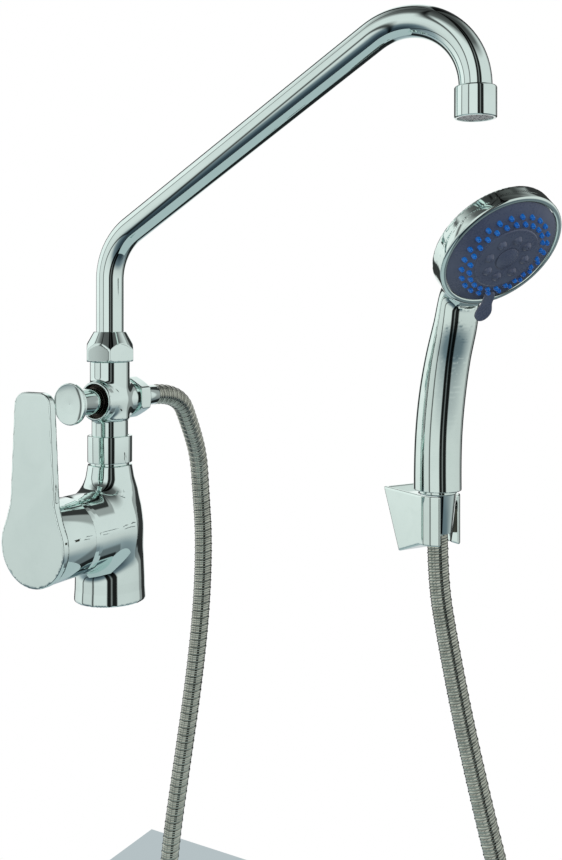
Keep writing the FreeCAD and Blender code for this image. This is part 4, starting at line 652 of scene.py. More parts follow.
def add_tint(tree, shader, mask, first, second, low=0.3, high=0.7):
    """The base colour, from the first to the second as the mask rises from low to high."""
    ramp = tree.nodes.new("ShaderNodeValToRGB")
    ramp.color_ramp.elements[0].position = low
    ramp.color_ramp.elements[0].color = (*first, 1)
    ramp.color_ramp.elements[1].position = high
    ramp.color_ramp.elements[1].color = (*second, 1)
    tree.links.new(mask, ramp.inputs["Fac"])
    tree.links.new(ramp.outputs["Color"], shader.inputs["Base Color"])


def add_bump(tree, shader, height, strength, distance):
    bump = tree.nodes.new("ShaderNodeBump")
    bump.inputs["Strength"].default_value = strength
    bump.inputs["Distance"].default_value = distance
    tree.links.new(height, bump.inputs["Height"])
    tree.links.new(bump.outputs["Normal"], shader.inputs["Normal"])


def plated(name, bright, dull, roughness, patch=45.0, wave=0.00002):
    """Mirror plating: a bright tint, a duller one in patches, and a faint waviness."""
    settings = {"Patch Size": patch, "Bright Roughness": roughness, "Dull Roughness": roughness * 1.8}
    material, tree, shader, effect = start_material(name, polish_marks, settings)
    shader.inputs["Metallic"].default_value = 1.0
    add_tint(tree, shader, effect.outputs["Dullness"], bright, dull, 0.0, 1.0)
    add_bump(tree, shader, effect.outputs["Waviness"], 0.35, wave)
    return material


def moulded(name, light, dark, low, high, grain=900.0, height=0.00004, specular=0.5):
    """Moulded plastic or rubber: two close shades, and a grain that dulls its shine unevenly."""
    settings = {"Grain": grain, "Low Roughness": low, "High Roughness": high}
    material, tree, shader, effect = start_material(name, moulded_grain, settings)
    shader.inputs["Specular IOR Level"].default_value = specular
    add_tint(tree, shader, effect.outputs["Shade"], dark, light)
    add_bump(tree, shader, effect.outputs["Height"], 0.3, height)
    return material


print("recipes: plated and moulded")

# %% [markdown]
# ## One finish for each slot
#
# Each slot of the record has one finish. Chromed plastic shines a little softer than chromed brass, the strip
# of the hose is warmer, and the brass in the tee's recess is tinted near black, as painted shade of the
# recess.
# CAD pieces that stay visible take their finish from the same table.

# %% One finish for each slot
FINISHES = {
    "chrome": plated("bright_chrome", (0.76, 0.90, 0.86), (0.72, 0.86, 0.82), 0.03),
    "chrome_plastic": plated("chromed_plastic", (0.76, 0.90, 0.85), (0.72, 0.86, 0.81), 0.035, 60.0),
    "hose_steel": plated("polished_strip", (0.60, 0.64, 0.55), (0.44, 0.47, 0.40), 0.05, 120.0),
    # The brass is tinted near black: painted shade for the tee's recess, darker than the metal's own colour.
    "brass": plated("brass_painted_shade", (0.11, 0.10, 0.085), (0.07, 0.065, 0.055), 0.22, 90.0),
    "spring_steel": plated("drawn_steel", (0.52, 0.53, 0.54), (0.42, 0.43, 0.44), 0.25, 150.0),
    "white_plastic": moulded("white_acetal", (0.78, 0.79, 0.78), (0.70, 0.71, 0.70), 0.35, 0.5),
    "ceramic": moulded("lapped_alumina", (0.84, 0.84, 0.81), (0.78, 0.78, 0.75), 0.12, 0.22),
    "black_rubber": moulded("seal_rubber", (0.03, 0.03, 0.03), (0.015, 0.015, 0.015), 0.55, 0.75),
    "grey_plastic": moulded("face_plastic", (0.13, 0.165, 0.255), (0.10, 0.125, 0.205), 0.22, 0.35),
    "blue_rubber": moulded("nozzle_rubber", (0.01, 0.29, 0.98), (0.006, 0.20, 0.82), 0.14, 0.26),
}
for part in frame["record"]["subparts"]:
    node = nodes[part["node"]]
    node.data.materials.clear()
    node.data.materials.append(FINISHES[part["material_slot"]])
print("finishes:", ", ".join(sorted(FINISHES)))


def finish_piece(piece, body, slot, *replaced):
    """Puts the piece on its body, gives it its slot's finish and hides what it stands for."""
    piece.data.materials.append(FINISHES[slot])
    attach(piece, body)
    if replaced:
        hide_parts(*replaced)


# %% [markdown]
# ## Mixer body
#
# The column and the hub of the cartridge are one brass casting, so they flow into each other. The two turned
# forms are joined as distance fields with a broad fillet, which a boolean of meshes couldn't give. The holes
# for the supply tails and the groove of the seal are cut from below.

# %% Mixer body
COLUMN = [
    (-20, 0),
    (23.2, 0),
    (23.2, 1.6, -150),
    (22.7, 14),
    (21.2, 50, 110),
    (18.2, 72, -70),
    (14.4, 88.4),
    (-20, 88.4),
]
HUB = [(-20, -14), (0, -14, 26), (24.8, 4), (24.8, 36, 24.8), (23.47, 44), (-20, 44)]
HUB_FILLET = 9.0
SUPPLY_HOLES = ((-9.5, 5), (9.5, 5))
SUPPLY_RADIUS, SUPPLY_DEPTH = 4.5, 44.0
STUD_HOLE, STUD_RADIUS, STUD_DEPTH = (0, -13), 3.4, 15.0
GROOVE_RADIUS, GROOVE_HALF, GROOVE_DEPTH = 19.2, 1.5, 2.0
column = soften(outline(COLUMN), 0.7)
hub = soften(outline(HUB), 0.4)


def pit(points, across, back, radius, depth):
    """An upright round hole from below, at a place of the XY plane."""
    x, y, z = points.T
    return np.maximum(np.hypot(x - across, y - back) - radius, z - depth)


def body_field(points):
    x, y, z = points.T
    upright = flat_distance(np.hypot(x, y), z, column)
    level = flat_distance(np.hypot(x, z - HUB_HEIGHT), -y, hub)
    whole = joined(upright, level, HUB_FILLET)
    for across, back in SUPPLY_HOLES:
        whole = cut(whole, pit(points, across, back, SUPPLY_RADIUS, SUPPLY_DEPTH))
    groove = np.abs(np.hypot(x, y) - GROOVE_RADIUS) - GROOVE_HALF
    whole = cut(whole, np.maximum(groove, z - GROOVE_DEPTH), 0.3)
    return cut(whole, pit(points, *STUD_HOLE, STUD_RADIUS, STUD_DEPTH))


body = skin("body_casting", body_field, (-27, -46, -2), (27, 27, 91), 0.9)
finish_piece(body, "tap", "chrome", "mixer_body")
neck = lathe("body_neck", [(0, 86), (12.7, 86), (12.7, 90.2), (0, 90.2)])
finish_piece(neck, "tap", "chrome")

# %% [markdown]
# ## Lever
#
# The lever is a round sleeve over the hub's ball nose, with a flat plate in front that runs up into a paddle.
# The sleeve is turned. The plate is a flat outline given a thickness, with a small round along its edges; the
# sides of the paddle sweep into the disc with a wide radius, as on the real casting.

# %% Lever
SLEEVE = [
    (0, 66.5),
    (22.9, 66.5),
    (22.9, 46.2),
    (24.2, 42.5),
    (25, 42.5),
    (25, 67.2),
    (0, 67.2),
]
sleeve = lathe("lever_sleeve", SLEEVE, AT_HUB, 0.3, 192)
finish_piece(sleeve, "lever", "chrome")

PLATE_RADIUS = 25.35
BLADE = [(-18.5, 14), (18.5, 14), (14.25, 92.1), (-14.25, 92.1)]
BLADE_CORE = [(-9.66, 20), (9.66, 20), (6.2, 83.6), (-6.2, 83.6)]
BLADE_ROUND = 8.5
ROUNDED_FROM = 60.0
BLADE_SWEEP = 8.0
PLATE_MIDDLE, PLATE_HALF, PLATE_EDGE = 69.5, 2.5, 0.9


def paddle_flat(x, y):
    """The plate's outline: a disc that sweeps into a blade with a rounded top."""
    plate = np.hypot(x, y) - PLATE_RADIUS
    rounded = flat_distance(x, y, BLADE_CORE) - BLADE_ROUND
    straight = np.maximum(flat_distance(x, y, BLADE), rounded)
    return joined(plate, np.where(y > ROUNDED_FROM, rounded, straight), BLADE_SWEEP)


def paddle_field(points):
    x, y, z = points.T
    return slab(paddle_flat(x, y), z - PLATE_MIDDLE, PLATE_HALF, PLATE_EDGE)


paddle = skin("lever_paddle", paddle_field, (-28, -28, 65.5), (28, 95, 73.5), 0.75, AT_HUB)
finish_piece(paddle, "lever", "chrome")
BOSS = [(0, 50), (6, 50), (6, 61.2), (9, 61.2), (9, 66.9), (0, 66.9)]
boss = lathe("lever_boss", BOSS, AT_HUB)
finish_piece(boss, "lever", "chrome", "lever_handle")
SHROUD = [(21.78, 44), (23.47, 44, 24.8), (14.6, 56.05), (14.6, 54.03, -23.2)]
shroud = lathe("dome_cap", SHROUD, AT_HUB, 0.2)
finish_piece(shroud, "tap", "chrome", "dome_shroud")

# %% [markdown]
# ## Union collar and diverter tee
#
# The collar is a plain turned ring with softened edges. The tee is a casting: an upright barrel crossed by a
# boss in front and a branch behind, joined with a small fillet where the crossing cylinders meet. The boss
# has a recess for the gland.

# %% Union collar and diverter tee
COLLAR = [(12.8, 89.8), (14.65, 89.8), (14.65, 107.3), (12.0, 107.3), (12.0, 105.0), (12.8, 103.0)]
collar = lathe("collar_ring", COLLAR, soft=0.55)
finish_piece(collar, "tap", "chrome", "union_collar")

BARREL = [(-20, 99), (11.9, 99), (11.9, 117.4), (12.2, 117.4), (13, 118.6), (13, 155.8), (-20, 155.8)]
CROSS = [
    (-20, -28),
    (10.25, -28),
    (10.25, -14),
    (13, -14),
    (13, 14.0, 1.6),
    (11.4, 15.6),
    (-20, 15.6),
]
TEE_FILLET = 2.4
RECESS_RADIUS, RECESS_FLOOR = 11.2, 12.0
barrel = soften(outline(BARREL), 0.5)
cross = soften(outline(CROSS), 0.7)


def tee_field(points):
    x, y, z = points.T
    upright = flat_distance(np.hypot(x, y), z, barrel)
    around = np.hypot(x, z - TEE_HEIGHT)
    whole = joined(upright, flat_distance(around, -y, cross), TEE_FILLET)
    return cut(whole, np.maximum(around - RECESS_RADIUS, y + RECESS_FLOOR), 0.4)


tee = skin("tee_casting", tee_field, (-16, -18, 97), (16, 30, 158), 0.65)
finish_piece(tee, "tap", "chrome", "diverter_tee")

# %% [markdown]
# ## Diverter knob and gland
#
# The gland fills the boss's recess with turned steps, which look dark partly because they mirror each other
# and partly because their brass finish is tinted near black as painted shade of the recess. The knob is a
# mushroom: a straight neck, a quick flare and a thin rim around a slightly dished face. Its dish is an arc of
# a very large circle, so it gathers a wide reflection.

# %% Diverter knob and gland
STEPS = [
    (0, 11.0),
    (11.1, 11.0),
    (11.1, 13.2),
    (10.7, 13.5),
    (10.5, 13.1),
    (10.3, 13.1),
    (10.1, 14.0),
    (9.9, 14.0),
    (9.75, 13.6),
    (9.6, 13.6),
    (9.45, 14.9),
    (9.3, 14.9),
    (9.15, 14.4),
    (9.0, 14.4),
    (8.9, 16.6),
    (0, 16.6),
]
gland = lathe("gland_steps", STEPS, AT_KNOB, 0.15)
finish_piece(gland, "tap", "brass", "diverter_bonnet")
KNOB = [
    (0, 18),
    (8.7, 18),
    (8.7, 32.5, -7.2),
    (12.15, 37.0),
    (13.25, 37.6),
    (13.25, 39.3),
    (12.6, 39.7),
    (12.1, 39.5, -130),
    (0, 38.9),
]
knob = lathe("pull_knob", KNOB, AT_KNOB, 0.3, 160)
finish_piece(knob, "diverter", "chrome", "diverter_knob")

# %% [markdown]
# ## Nuts
#
# A turned nut with flats is the part that a turned blank and a hexagon have in common. As fields that is the
# larger of the two distances, so the curved chamfer lines across the corners come by themselves.

# %% Nuts
CORNER_EDGE = 0.5


def hexagon_distance(x, y, flats, first):
    """Distance to a hexagon with a corner at the angle first, in degrees."""
    farthest = np.full(x.shape, -1e9)
    for step in range(6):
        angle = math.radians(first + 30 + 60 * step)
        farthest = np.maximum(farthest, x * math.cos(angle) + y * math.sin(angle) - flats / 2)
    return farthest


def nut_field(blank, flats, first):
    """The part that a turned blank and a hexagon have in common."""

    def field(points):
        x, y, z = points.T
        turned = flat_distance(np.hypot(x, y), z, blank)
        return -joined(-turned, -hexagon_distance(x, y, flats, first), CORNER_EDGE)

    return field


CONE_BLANK = [(-20, 155.9), (16.2, 155.9), (17.3, 156.8), (17.3, 163.4), (10.5, 175.4), (-20, 175.4)]
cone_field = nut_field(soften(outline(CONE_BLANK), 0.5), 30.0, 10.0)
cone_nut = skin("cone_nut_skin", cone_field, (-19, -19, 154.5), (19, 19, 177), 0.6)
finish_piece(cone_nut, "tap", "chrome", "spout_cone_nut")
HOSE_BLANK = [(-20, 18.6), (12.9, 18.6), (13.8, 19.5), (13.8, 27.8), (10.4, 30), (-20, 30)]
hose_nut_field = nut_field(soften(outline(HOSE_BLANK), 0.4), 24.0, 30.0)
hose_nut = skin("hose_nut_skin", hose_nut_field, (-15, -15, 17), (15, 15, 31.5), 0.55, AT_BRANCH)
finish_piece(hose_nut, "tap", "chrome", "hose_hex_nut")
FERRULE = [(5.0, 29.6), (6.9, 29.6), (7.0, 45.2), (6.8, 46.0), (5.0, 46.0)]
ferrule = lathe("hose_ferrule", FERRULE, AT_BRANCH)
finish_piece(ferrule, "tap", "chrome", "hose_tail")

# %% [markdown]
# ## Spout
#
# The spout is one bent tube: straight up, a bend that leans it out, a long straight and a tight turn down. It
# is a circle carried along lines and true arcs, with extra rings in the bends. The aerator on its end is
# turned, with a rounded shoulder.

# %% Spout
SPOUT_RADIUS = 9.0
REACH, CORNER, RISE = 250.0, 231.0, math.radians(30.7)
LOW_BEND, HIGH_BEND = 38.0, 40.0


def bend(centre, radius, first, last, count):
    """Points of an arc between two angles in degrees."""
    angles = np.radians(np.linspace(first, last, count))
    return [(centre[0] + radius * math.cos(a), centre[1] + radius * math.sin(a)) for a in angles]


def spout_line():
    """The centreline in the XZ plane, in millimetres."""
    short = LOW_BEND * math.tan((math.pi / 2 - RISE) / 2)
    high = CORNER + REACH * math.tan(RISE)
    long = HIGH_BEND * math.tan((math.pi / 2 + RISE) / 2)
    line = [(0, z) for z in np.linspace(150, CORNER - short, 12)[:-1]]
    line += bend((LOW_BEND, CORNER - short), LOW_BEND, 180, 90 + math.degrees(RISE), 24)
    start = line[-1]
    end = (REACH - long * math.cos(RISE), high - long * math.sin(RISE))
    line += [tuple(np.array(start) + (np.array(end) - start) * t) for t in np.linspace(0, 1, 24)[1:-1]]
    line += bend((REACH - HIGH_BEND, high - long), HIGH_BEND, 90 + math.degrees(RISE), 0, 36)
    line += [(REACH, high - long - drop) for drop in (1.5, 3.0, 4.5)]
    return np.array([(x, 0.0, z) for x, z in line])


def tube(name, line, radius, around=128):
    """A round skin along a line in the XZ plane."""
    around = around
    tangents = np.gradient(line, axis=0)
    tangents /= np.linalg.norm(tangents, axis=1)[:, None]
    across = np.array((0.0, 1.0, 0.0))
    up = np.cross(tangents, across)
    angles = np.arange(around) * math.tau / around
    ring = np.cos(angles)[None, :, None] * across + np.sin(angles)[None, :, None] * up[:, None, :]
    points = (line[:, None, :] + radius * ring).reshape(-1, 3)
    faces = []
    for row in range(len(line) - 1):
        for step in range(around):
            on = (step + 1) % around
            low, high = row * around, (row + 1) * around
            faces.append((low + step, low + on, high + on, high + step))
    return make_object(name, points, faces, normals=ring.reshape(-1, 3))


spout = tube("spout_skin", spout_line(), SPOUT_RADIUS)
finish_piece(spout, "spout", "chrome", "spout_tube")
AERATOR = [
    (7.5, 303.8),
    (9.0, 303.8),
    (9.0, 309.0),
    (10.3, 309.0, -1.2),
    (11.4, 307.8),
    (11.4, 292.5),
    (10.9, 292.0),
    (9.6, 292.0),
    (9.6, 302.4),
    (7.5, 302.4),
]
aerator = lathe("aerator_shell", AERATOR, place((REACH, 0, 0), (1, 0, 0), (0, 0, 1)), 0.3)
finish_piece(aerator, "spout", "chrome", "aerator_housing")

# %% [markdown]
# ## Hose
#
# The hose is a steel strip wound into a helix whose turns lock into each other: one proud narrow band and two
# lower ones per turn, with grooves between. The grid of the mesh follows that helix, so each band is a clean
# ridge. The profile of one turn is a list of its place along the turn, its radius in millimetres, and its
# level of painted light: an attribute carries that to the finish, which paints shade darkest down in the
# grooves.

# %% Hose
STRIP_PITCH = 0.0056
FINE_POINTS = 3000
# Each row: place along the turn, radius in millimetres, and level of painted light; a low level paints shade
# into the grooves and lower bands.
TURN_PROFILE = [
    (0.00, 6.20, 0.1),
    (0.04, 6.80, 0.9),
    (0.10, 7.00, 1.0),
    (0.17, 7.00, 1.0),
    (0.23, 6.80, 0.9),
    (0.27, 6.30, 0.2),
    (0.31, 6.55, 0.7),
    (0.40, 6.68, 0.85),
    (0.52, 6.66, 0.85),
    (0.57, 6.35, 0.3),
    (0.61, 6.60, 0.7),
    (0.72, 6.70, 0.85),
    (0.86, 6.66, 0.8),
    (0.95, 6.45, 0.4),
]


def wound_hose(name, line, around):
    """A helical skin: each row of points is one line of the strip's section."""
    reach = np.concatenate([[0], np.cumsum(np.linalg.norm(np.diff(line, axis=0), axis=1))])
    length = reach[-1]
    fine = np.linspace(0, length, FINE_POINTS)
    centre = np.stack([np.interp(fine, reach, line[:, d]) for d in range(3)], axis=1)
    _, side, other = frames_along(centre)
    turns = int(length / STRIP_PITCH) + 2
    starts = [(turn + phase - 1) * STRIP_PITCH for turn in range(turns) for phase, _, _ in TURN_PROFILE]
    radii = [radius * MILLIMETRE for _ in range(turns) for _, radius, _ in TURN_PROFILE]
    painted_light_levels = [painted_light for _ in range(turns) for _, _, painted_light in TURN_PROFILE]
    angles = np.arange(around) * math.tau / around
    along = np.array(starts)[:, None] + STRIP_PITCH * angles[None, :] / math.tau
    along = np.clip(along, 0, length)

    def at(table):
        return np.stack([np.interp(along, fine, table[:, d]) for d in range(3)], axis=2)

    spoke = at(side) * np.cos(angles)[None, :, None] + at(other) * np.sin(angles)[None, :, None]
    points = at(centre) + spoke * np.array(radii)[:, None, None]
    rows, per_turn = len(starts), len(TURN_PROFILE)
    row, step = np.meshgrid(np.arange(rows - 1 - per_turn), np.arange(around), indexing="ij")
    last = step == around - 1
    on_row, on_step = np.where(last, row + per_turn, row), np.where(last, 0, step + 1)
    here, beside = row * around + step, on_row * around + on_step
    faces = np.stack([here, beside, beside + around, here + around], axis=2).reshape(-1, 4)
    kept = along.ravel()[faces].max(axis=1) > along.ravel()[faces].min(axis=1)
    hose = make_object(name, points.reshape(-1, 3) / MILLIMETRE, faces[kept])
    # The levels go on an attribute, which the finish turns into painted shade in the grooves.
    painted_light = hose.data.attributes.new("painted_light_level", "FLOAT", "POINT")
    painted_light.data.foreach_set("value", np.repeat(painted_light_levels, around).astype(np.float32))
    return hose, length


hose, hose_length = wound_hose("wound_hose", hose_line, 40)
print("hose of", round(hose_length, 4), "m,", len(hose.data.vertices), "points")

# %% [markdown]
# ## Hose finish
#
# The strip's finish mixes a dark tone into its tint by the attribute, as painted shade darkest down in the
# grooves. The hose runs from the tap to the hand shower and its length never changes; its place is baked into
# its points, it rides on no body, and the CAD hose it stands for is hidden.

# %% Hose finish
# The painted shade of the grooves: a dark tone mixed into the strip's tint where the level is low.
PAINTED_GROOVE_SHADE = (0.035, 0.033, 0.03, 1)


def add_mix(tree, factor, first, second, blend="MIX"):
    """A colour mix; each term is a colour, a number or another node's output."""
    mix = tree.nodes.new("ShaderNodeMix")
    mix.data_type = "RGBA"
    mix.blend_type = blend
    for key, term in (("Factor", factor), ("A", first), ("B", second)):
        if isinstance(term, bpy.types.NodeSocket):
            tree.links.new(term, mix.inputs[key])
        else:
            mix.inputs[key].default_value = term
    return mix.outputs["Result"]


def strip_material():
    """Polished steel strip, with painted shade that is darkest down in the grooves."""
    material = FINISHES["hose_steel"]
    tree = material.node_tree
    shader = tree.nodes["Principled BSDF"]
    painted_light = tree.nodes.new("ShaderNodeAttribute")
    painted_light.attribute_name = "painted_light_level"
    tint = shader.inputs["Base Color"].links[0].from_socket
    # Painted shade: where the level is low, the strip's tint gives way to the dark groove tone.
    tree.links.new(add_mix(tree, painted_light.outputs["Fac"], PAINTED_GROOVE_SHADE, tint), shader.inputs["Base Color"])
    return material


hose.data.materials.append(strip_material())
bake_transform(hose)
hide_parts("shower_hose")
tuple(HOSE_ROUTE[0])

# %% [markdown]
# ## Holder
#
# The holder is a thin-walled wedge, open above, with a C-shaped tapered socket in front. As a field it is the
# wedge and the socket's cylinder joined, less the hollow, the taper and the mouth, all with the soft edges
# that plating gives a moulding.

# %% Holder
WEDGE = [(-40, 70.5), (-23, 29.9), (0, 38.7), (0, 70.5)]
HOLLOW = [(-38.5, 76), (-20.9, 33.2), (-14.2, 36.2), (-14.2, 76)]
WEDGE_HALF, HOLLOW_HALF = 14.5, 12.5
SOCKET_RADIUS, SOCKET_MIDDLE, SOCKET_HALF = 14.5, 54.6, 15.9
TAPER_LOW, TAPER_HIGH = (9.05, 45.6), (11.7, 70.8)
TAPER_PLAY = 0.25
MOUTH_HALF = 7.15
WALL_SPOT, WALL_LEAN = (-31.5, 50.2), math.atan2(17, 40.6)
SCREW_STEP, SCREW_RADIUS, SCREW_HEAD = 9.5, 2.2, 4.6
SEAT_DEPTH, DRIVER_DEPTH = 8.0, 34.0
wedge = soften(outline(WEDGE), 1.0)
hollow = soften(outline(HOLLOW), 0.8)


def holder_field(points):
    x, y, z = points.T
    outer = slab(flat_distance(x, z, wedge), y, WEDGE_HALF, 1.1)
    socket = slab(np.hypot(x, y) - SOCKET_RADIUS, z - SOCKET_MIDDLE, SOCKET_HALF, 0.7)
    whole = np.minimum(outer, socket)
    whole = cut(whole, slab(flat_distance(x, z, hollow), y, HOLLOW_HALF, 0.8), 0.5)
    steep = (TAPER_HIGH[0] - TAPER_LOW[0]) / (TAPER_HIGH[1] - TAPER_LOW[1])
    taper = TAPER_LOW[0] + (z - TAPER_LOW[1]) * steep + TAPER_PLAY
    whole = cut(whole, (np.hypot(x, y) - taper) * 0.99, 0.6)
    whole = cut(whole, np.maximum(np.abs(y) - MOUTH_HALF, -x), 1.2)
    forward = (x - WALL_SPOT[0]) * math.cos(WALL_LEAN) + (z - WALL_SPOT[1]) * math.sin(WALL_LEAN)
    upward = (z - WALL_SPOT[1]) * math.cos(WALL_LEAN) - (x - WALL_SPOT[0]) * math.sin(WALL_LEAN)
    for step in (-SCREW_STEP, SCREW_STEP):
        away = np.hypot(y, upward - step)
        whole = cut(whole, np.maximum(away - SCREW_RADIUS, forward - SEAT_DEPTH), 0.3)
        reach = np.maximum(away - SCREW_HEAD, SEAT_DEPTH - forward)
        whole = cut(whole, np.maximum(reach, forward - DRIVER_DEPTH), 0.3)
    return whole


holder = skin("holder_moulding", holder_field, (-43, -17, 27), (17, 17, 73), 0.6, AT_HOLDER)
finish_piece(holder, "tap", "chrome_plastic", "holder_shell")

# %% [markdown]
# ## Hose nut
#
# The conical nut of the hose sits in the holder's taper, and the sleeve crimped on the hose ends inside it.
# Both are turned parts, so both are lathes.

# %% Hose nut
CONE_NUT = [
    (7.4, 45.6),
    (9.05, 45.6),
    (11.7, 70.8),
    (12.4, 71.3),
    (12.4, 72.9),
    (10.3, 72.9),
    (10.3, 58.8),
    (7.4, 58.8),
]
hand_nut = lathe("hand_cone_nut", CONE_NUT, AT_HOLDER, 0.35)
finish_piece(hand_nut, "handset", "chrome_plastic", "hose_cone_nut")
END_SLEEVE = [(5.2, 44.6), (6.8, 44.6), (7.0, 46.0), (7.0, 58.9), (5.2, 58.9)]
end_sleeve = lathe("hose_end_sleeve", END_SLEEVE, AT_HOLDER)
finish_piece(end_sleeve, "hose_end", "chrome")

# %% [markdown]
# ## Hand shower's handle
#
# The handle is a loft: an oval section that bends forward and gets flatter until it runs into the head. A few
# sections are drawn, and a smooth curve through them gives many stations. It becomes a field, not a plain
# loft, so that it can grow into the turned head with a wide fillet.

# %% Hand shower's handle
BEND_RADIUS, BEND_FROM = 265.0, 85.0


def face_point(across, out):
    """A point of the hand shower's middle plane from its distances along and out of the face."""
    forward = FACE_FORWARD + across * math.sin(FACE_TILT) + out * math.cos(FACE_TILT)
    return forward, FACE_RISE + across * math.cos(FACE_TILT) - out * math.sin(FACE_TILT)


def bend_point(height):
    """A point of the handle's bend, which starts upright."""
    rise = height - BEND_FROM
    return BEND_RADIUS - math.sqrt(BEND_RADIUS**2 - rise**2), height


# Each section has its place forward and up, its width and its depth.
HANDLE_SECTIONS = [
    (0, 73, 31.0, 30.8),
    (0, 85, 31.0, 30.6),
    (*bend_point(110), 31.0, 29.8),
    (*bend_point(137), 31.0, 28.4),
    (*bend_point(160), 31.0, 25.6),
    (*bend_point(180), 31.0, 22.8),
    (*face_point(-39, -14.6), 28.0, 18.8),
    (*face_point(-12, -14.5), 22.0, 13.8),
]


def handle_stations(count=90):
    """Evenly spaced sections along the handle, by a smooth curve through the drawn ones."""
    table = np.array(HANDLE_SECTIONS, float)
    reach = np.concatenate([[0], np.cumsum(np.hypot(*np.diff(table[:, :2], axis=0).T))])
    slopes = np.gradient(table, reach, axis=0)
    spots = np.linspace(0, reach[-1], count)
    index = np.clip(np.searchsorted(reach, spots) - 1, 0, len(reach) - 2)
    width = (reach[index + 1] - reach[index])[:, None]
    t = (spots - reach[index])[:, None] / width
    return (
        (2 * t**3 - 3 * t**2 + 1) * table[index]
        + (t**3 - 2 * t**2 + t) * width * slopes[index]
        + (3 * t**2 - 2 * t**3) * table[index + 1]
        + (t**3 - t**2) * width * slopes[index + 1]
    )


stations = handle_stations()
station_way = np.gradient(stations[:, :2], axis=0)
station_way /= np.linalg.norm(station_way, axis=1)[:, None]
print("handle of", len(stations), "stations")

# %% [markdown]
# ## The handle's field
#
# The distance to a bent, tapering handle has no simple formula. A point is measured from the section of its
# nearest station, which first moves a little along the handle so that no step shows between two stations.

# %% The handle's field
STATION_REACH = 0.6
END_REACH = 0.3


def handle_field(x, y, z):
    """Distance to the oval section at the nearest place along the handle."""
    best, index = np.full(x.shape, 1e12), np.zeros(x.shape, int)
    for number, row in enumerate(stations):
        away = (x - row[0]) ** 2 + (z - row[1]) ** 2
        nearer = away < best
        best, index = np.where(nearer, away, best), np.where(nearer, number, index)
    centre, way = stations[index], station_way[index]
    along = (x - centre[:, 0]) * way[:, 0] + (z - centre[:, 1]) * way[:, 1]
    change = np.gradient(stations, axis=0)[index]
    spacing = np.hypot(*(stations[1] - stations[0])[:2])
    part = np.clip(along / spacing, -STATION_REACH, STATION_REACH)
    centre = centre + change * part[:, None]
    next_way = way + np.gradient(station_way, axis=0)[index] * part[:, None]
    next_way /= np.linalg.norm(next_way, axis=1)[:, None]
    across = (x - centre[:, 0]) * next_way[:, 1] - (z - centre[:, 1]) * next_way[:, 0]
    past = (x - centre[:, 0]) * next_way[:, 0] + (z - centre[:, 1]) * next_way[:, 1]
    half_width, half_depth = centre[:, 2] / 2, centre[:, 3] / 2
    size = np.sqrt((across / half_depth) ** 2 + (y / half_width) ** 2) + 1e-9
    steep = np.sqrt((across / half_depth**2) ** 2 + (y / half_width**2) ** 2) / size + 1e-6
    side = (size - 1) / steep
    beyond = np.hypot(np.maximum(side, 0), past) + np.minimum(side, 0)
    return np.where(np.abs(past) > END_REACH, beyond, side)


depth = handle_field(np.array([0.0]), np.array([0.0]), np.array([80.0]))
print("the handle's middle lies", round(-float(depth[0]), 2), "mm deep")

# %% [markdown]
# ## Hand shower's head
#
# The back of the head is a turned dish, drawn as a half section square to the face. It joins the handle with
# a wide fillet, and the room for the spray face is cut out of both. A plated ring is pressed into its rim.

# %% Hand shower's head
HEAD = [(-20, -23), (0, -23, 78.8), (41, -11.5), (41, -3.2), (-20, -3.2)]
HEAD_FILLET = 8.0
ROOM_BACK, ROOM_FRONT, ROOM_RADIUS = -3.05, 3.0, 45.0
HANDLE_FOOT = 73.1
head_side = soften(outline(HEAD, 3.0), 1.2)


def handset_field(points):
    x, y, z = points.T
    handle = handle_field(x, y, z)
    forward, height = x - FACE_FORWARD, z - FACE_RISE
    out = forward * math.cos(FACE_TILT) - height * math.sin(FACE_TILT)
    rise = forward * math.sin(FACE_TILT) + height * math.cos(FACE_TILT)
    away = np.hypot(rise, y)
    whole = joined(handle, flat_distance(away, out, head_side), HEAD_FILLET)
    room = np.maximum(np.maximum(ROOM_BACK - out, out - ROOM_FRONT), away - ROOM_RADIUS)
    return np.maximum(cut(whole, room, 0.4), HANDLE_FOOT - z)


handset = skin("handset_moulding", handset_field, (-18, -43, 71), (96, 43, 264), 1.1, AT_HOLDER)
finish_piece(handset, "handset", "chrome_plastic", "handset_shell")
RING = [
    (37.4, -7),
    (41, -7),
    (41, -1.6, 1.7),
    (39.4, 0),
    (38.3, 0, 1.0),
    (37.4, -0.9),
]
trim = lathe("trim_ring", RING, AT_FACE, 0.3, 224)
finish_piece(trim, "handset", "chrome_plastic", "head_trim_ring")

# %% [markdown]
# ## Spray face
#
# The face turns to choose the spray. It is a low cone of satin plastic, round all over, so it is a lathe. It
# is drawn with many steps around, because its edge lies close to the bright ring.

# %% Spray face
FACE = [
    (0, 1.0),
    (20, 1.0),
    (35.1, -2.8),
    (35.1, -6.5),
    (37.1, -6.5),
    (37.1, -0.8),
    (22.1, 4.4),
    (21.75, 4.4),
    (21.75, 3.2),
    (0, 3.2),
]
face = lathe("face_cone", FACE, AT_FACE, 0.25, 224)
finish_piece(face, "selector", "grey_plastic", "spray_face")

# %% [markdown]
# ## Nozzles
#
# Soft blue nozzles stand in two staggered rings on the cone. Each is a small turned form with a real hole,
# because a flat dot would not catch light on its tip. The half section is turned once and repeated, so all
# the nozzles are one mesh.

# %% Nozzles


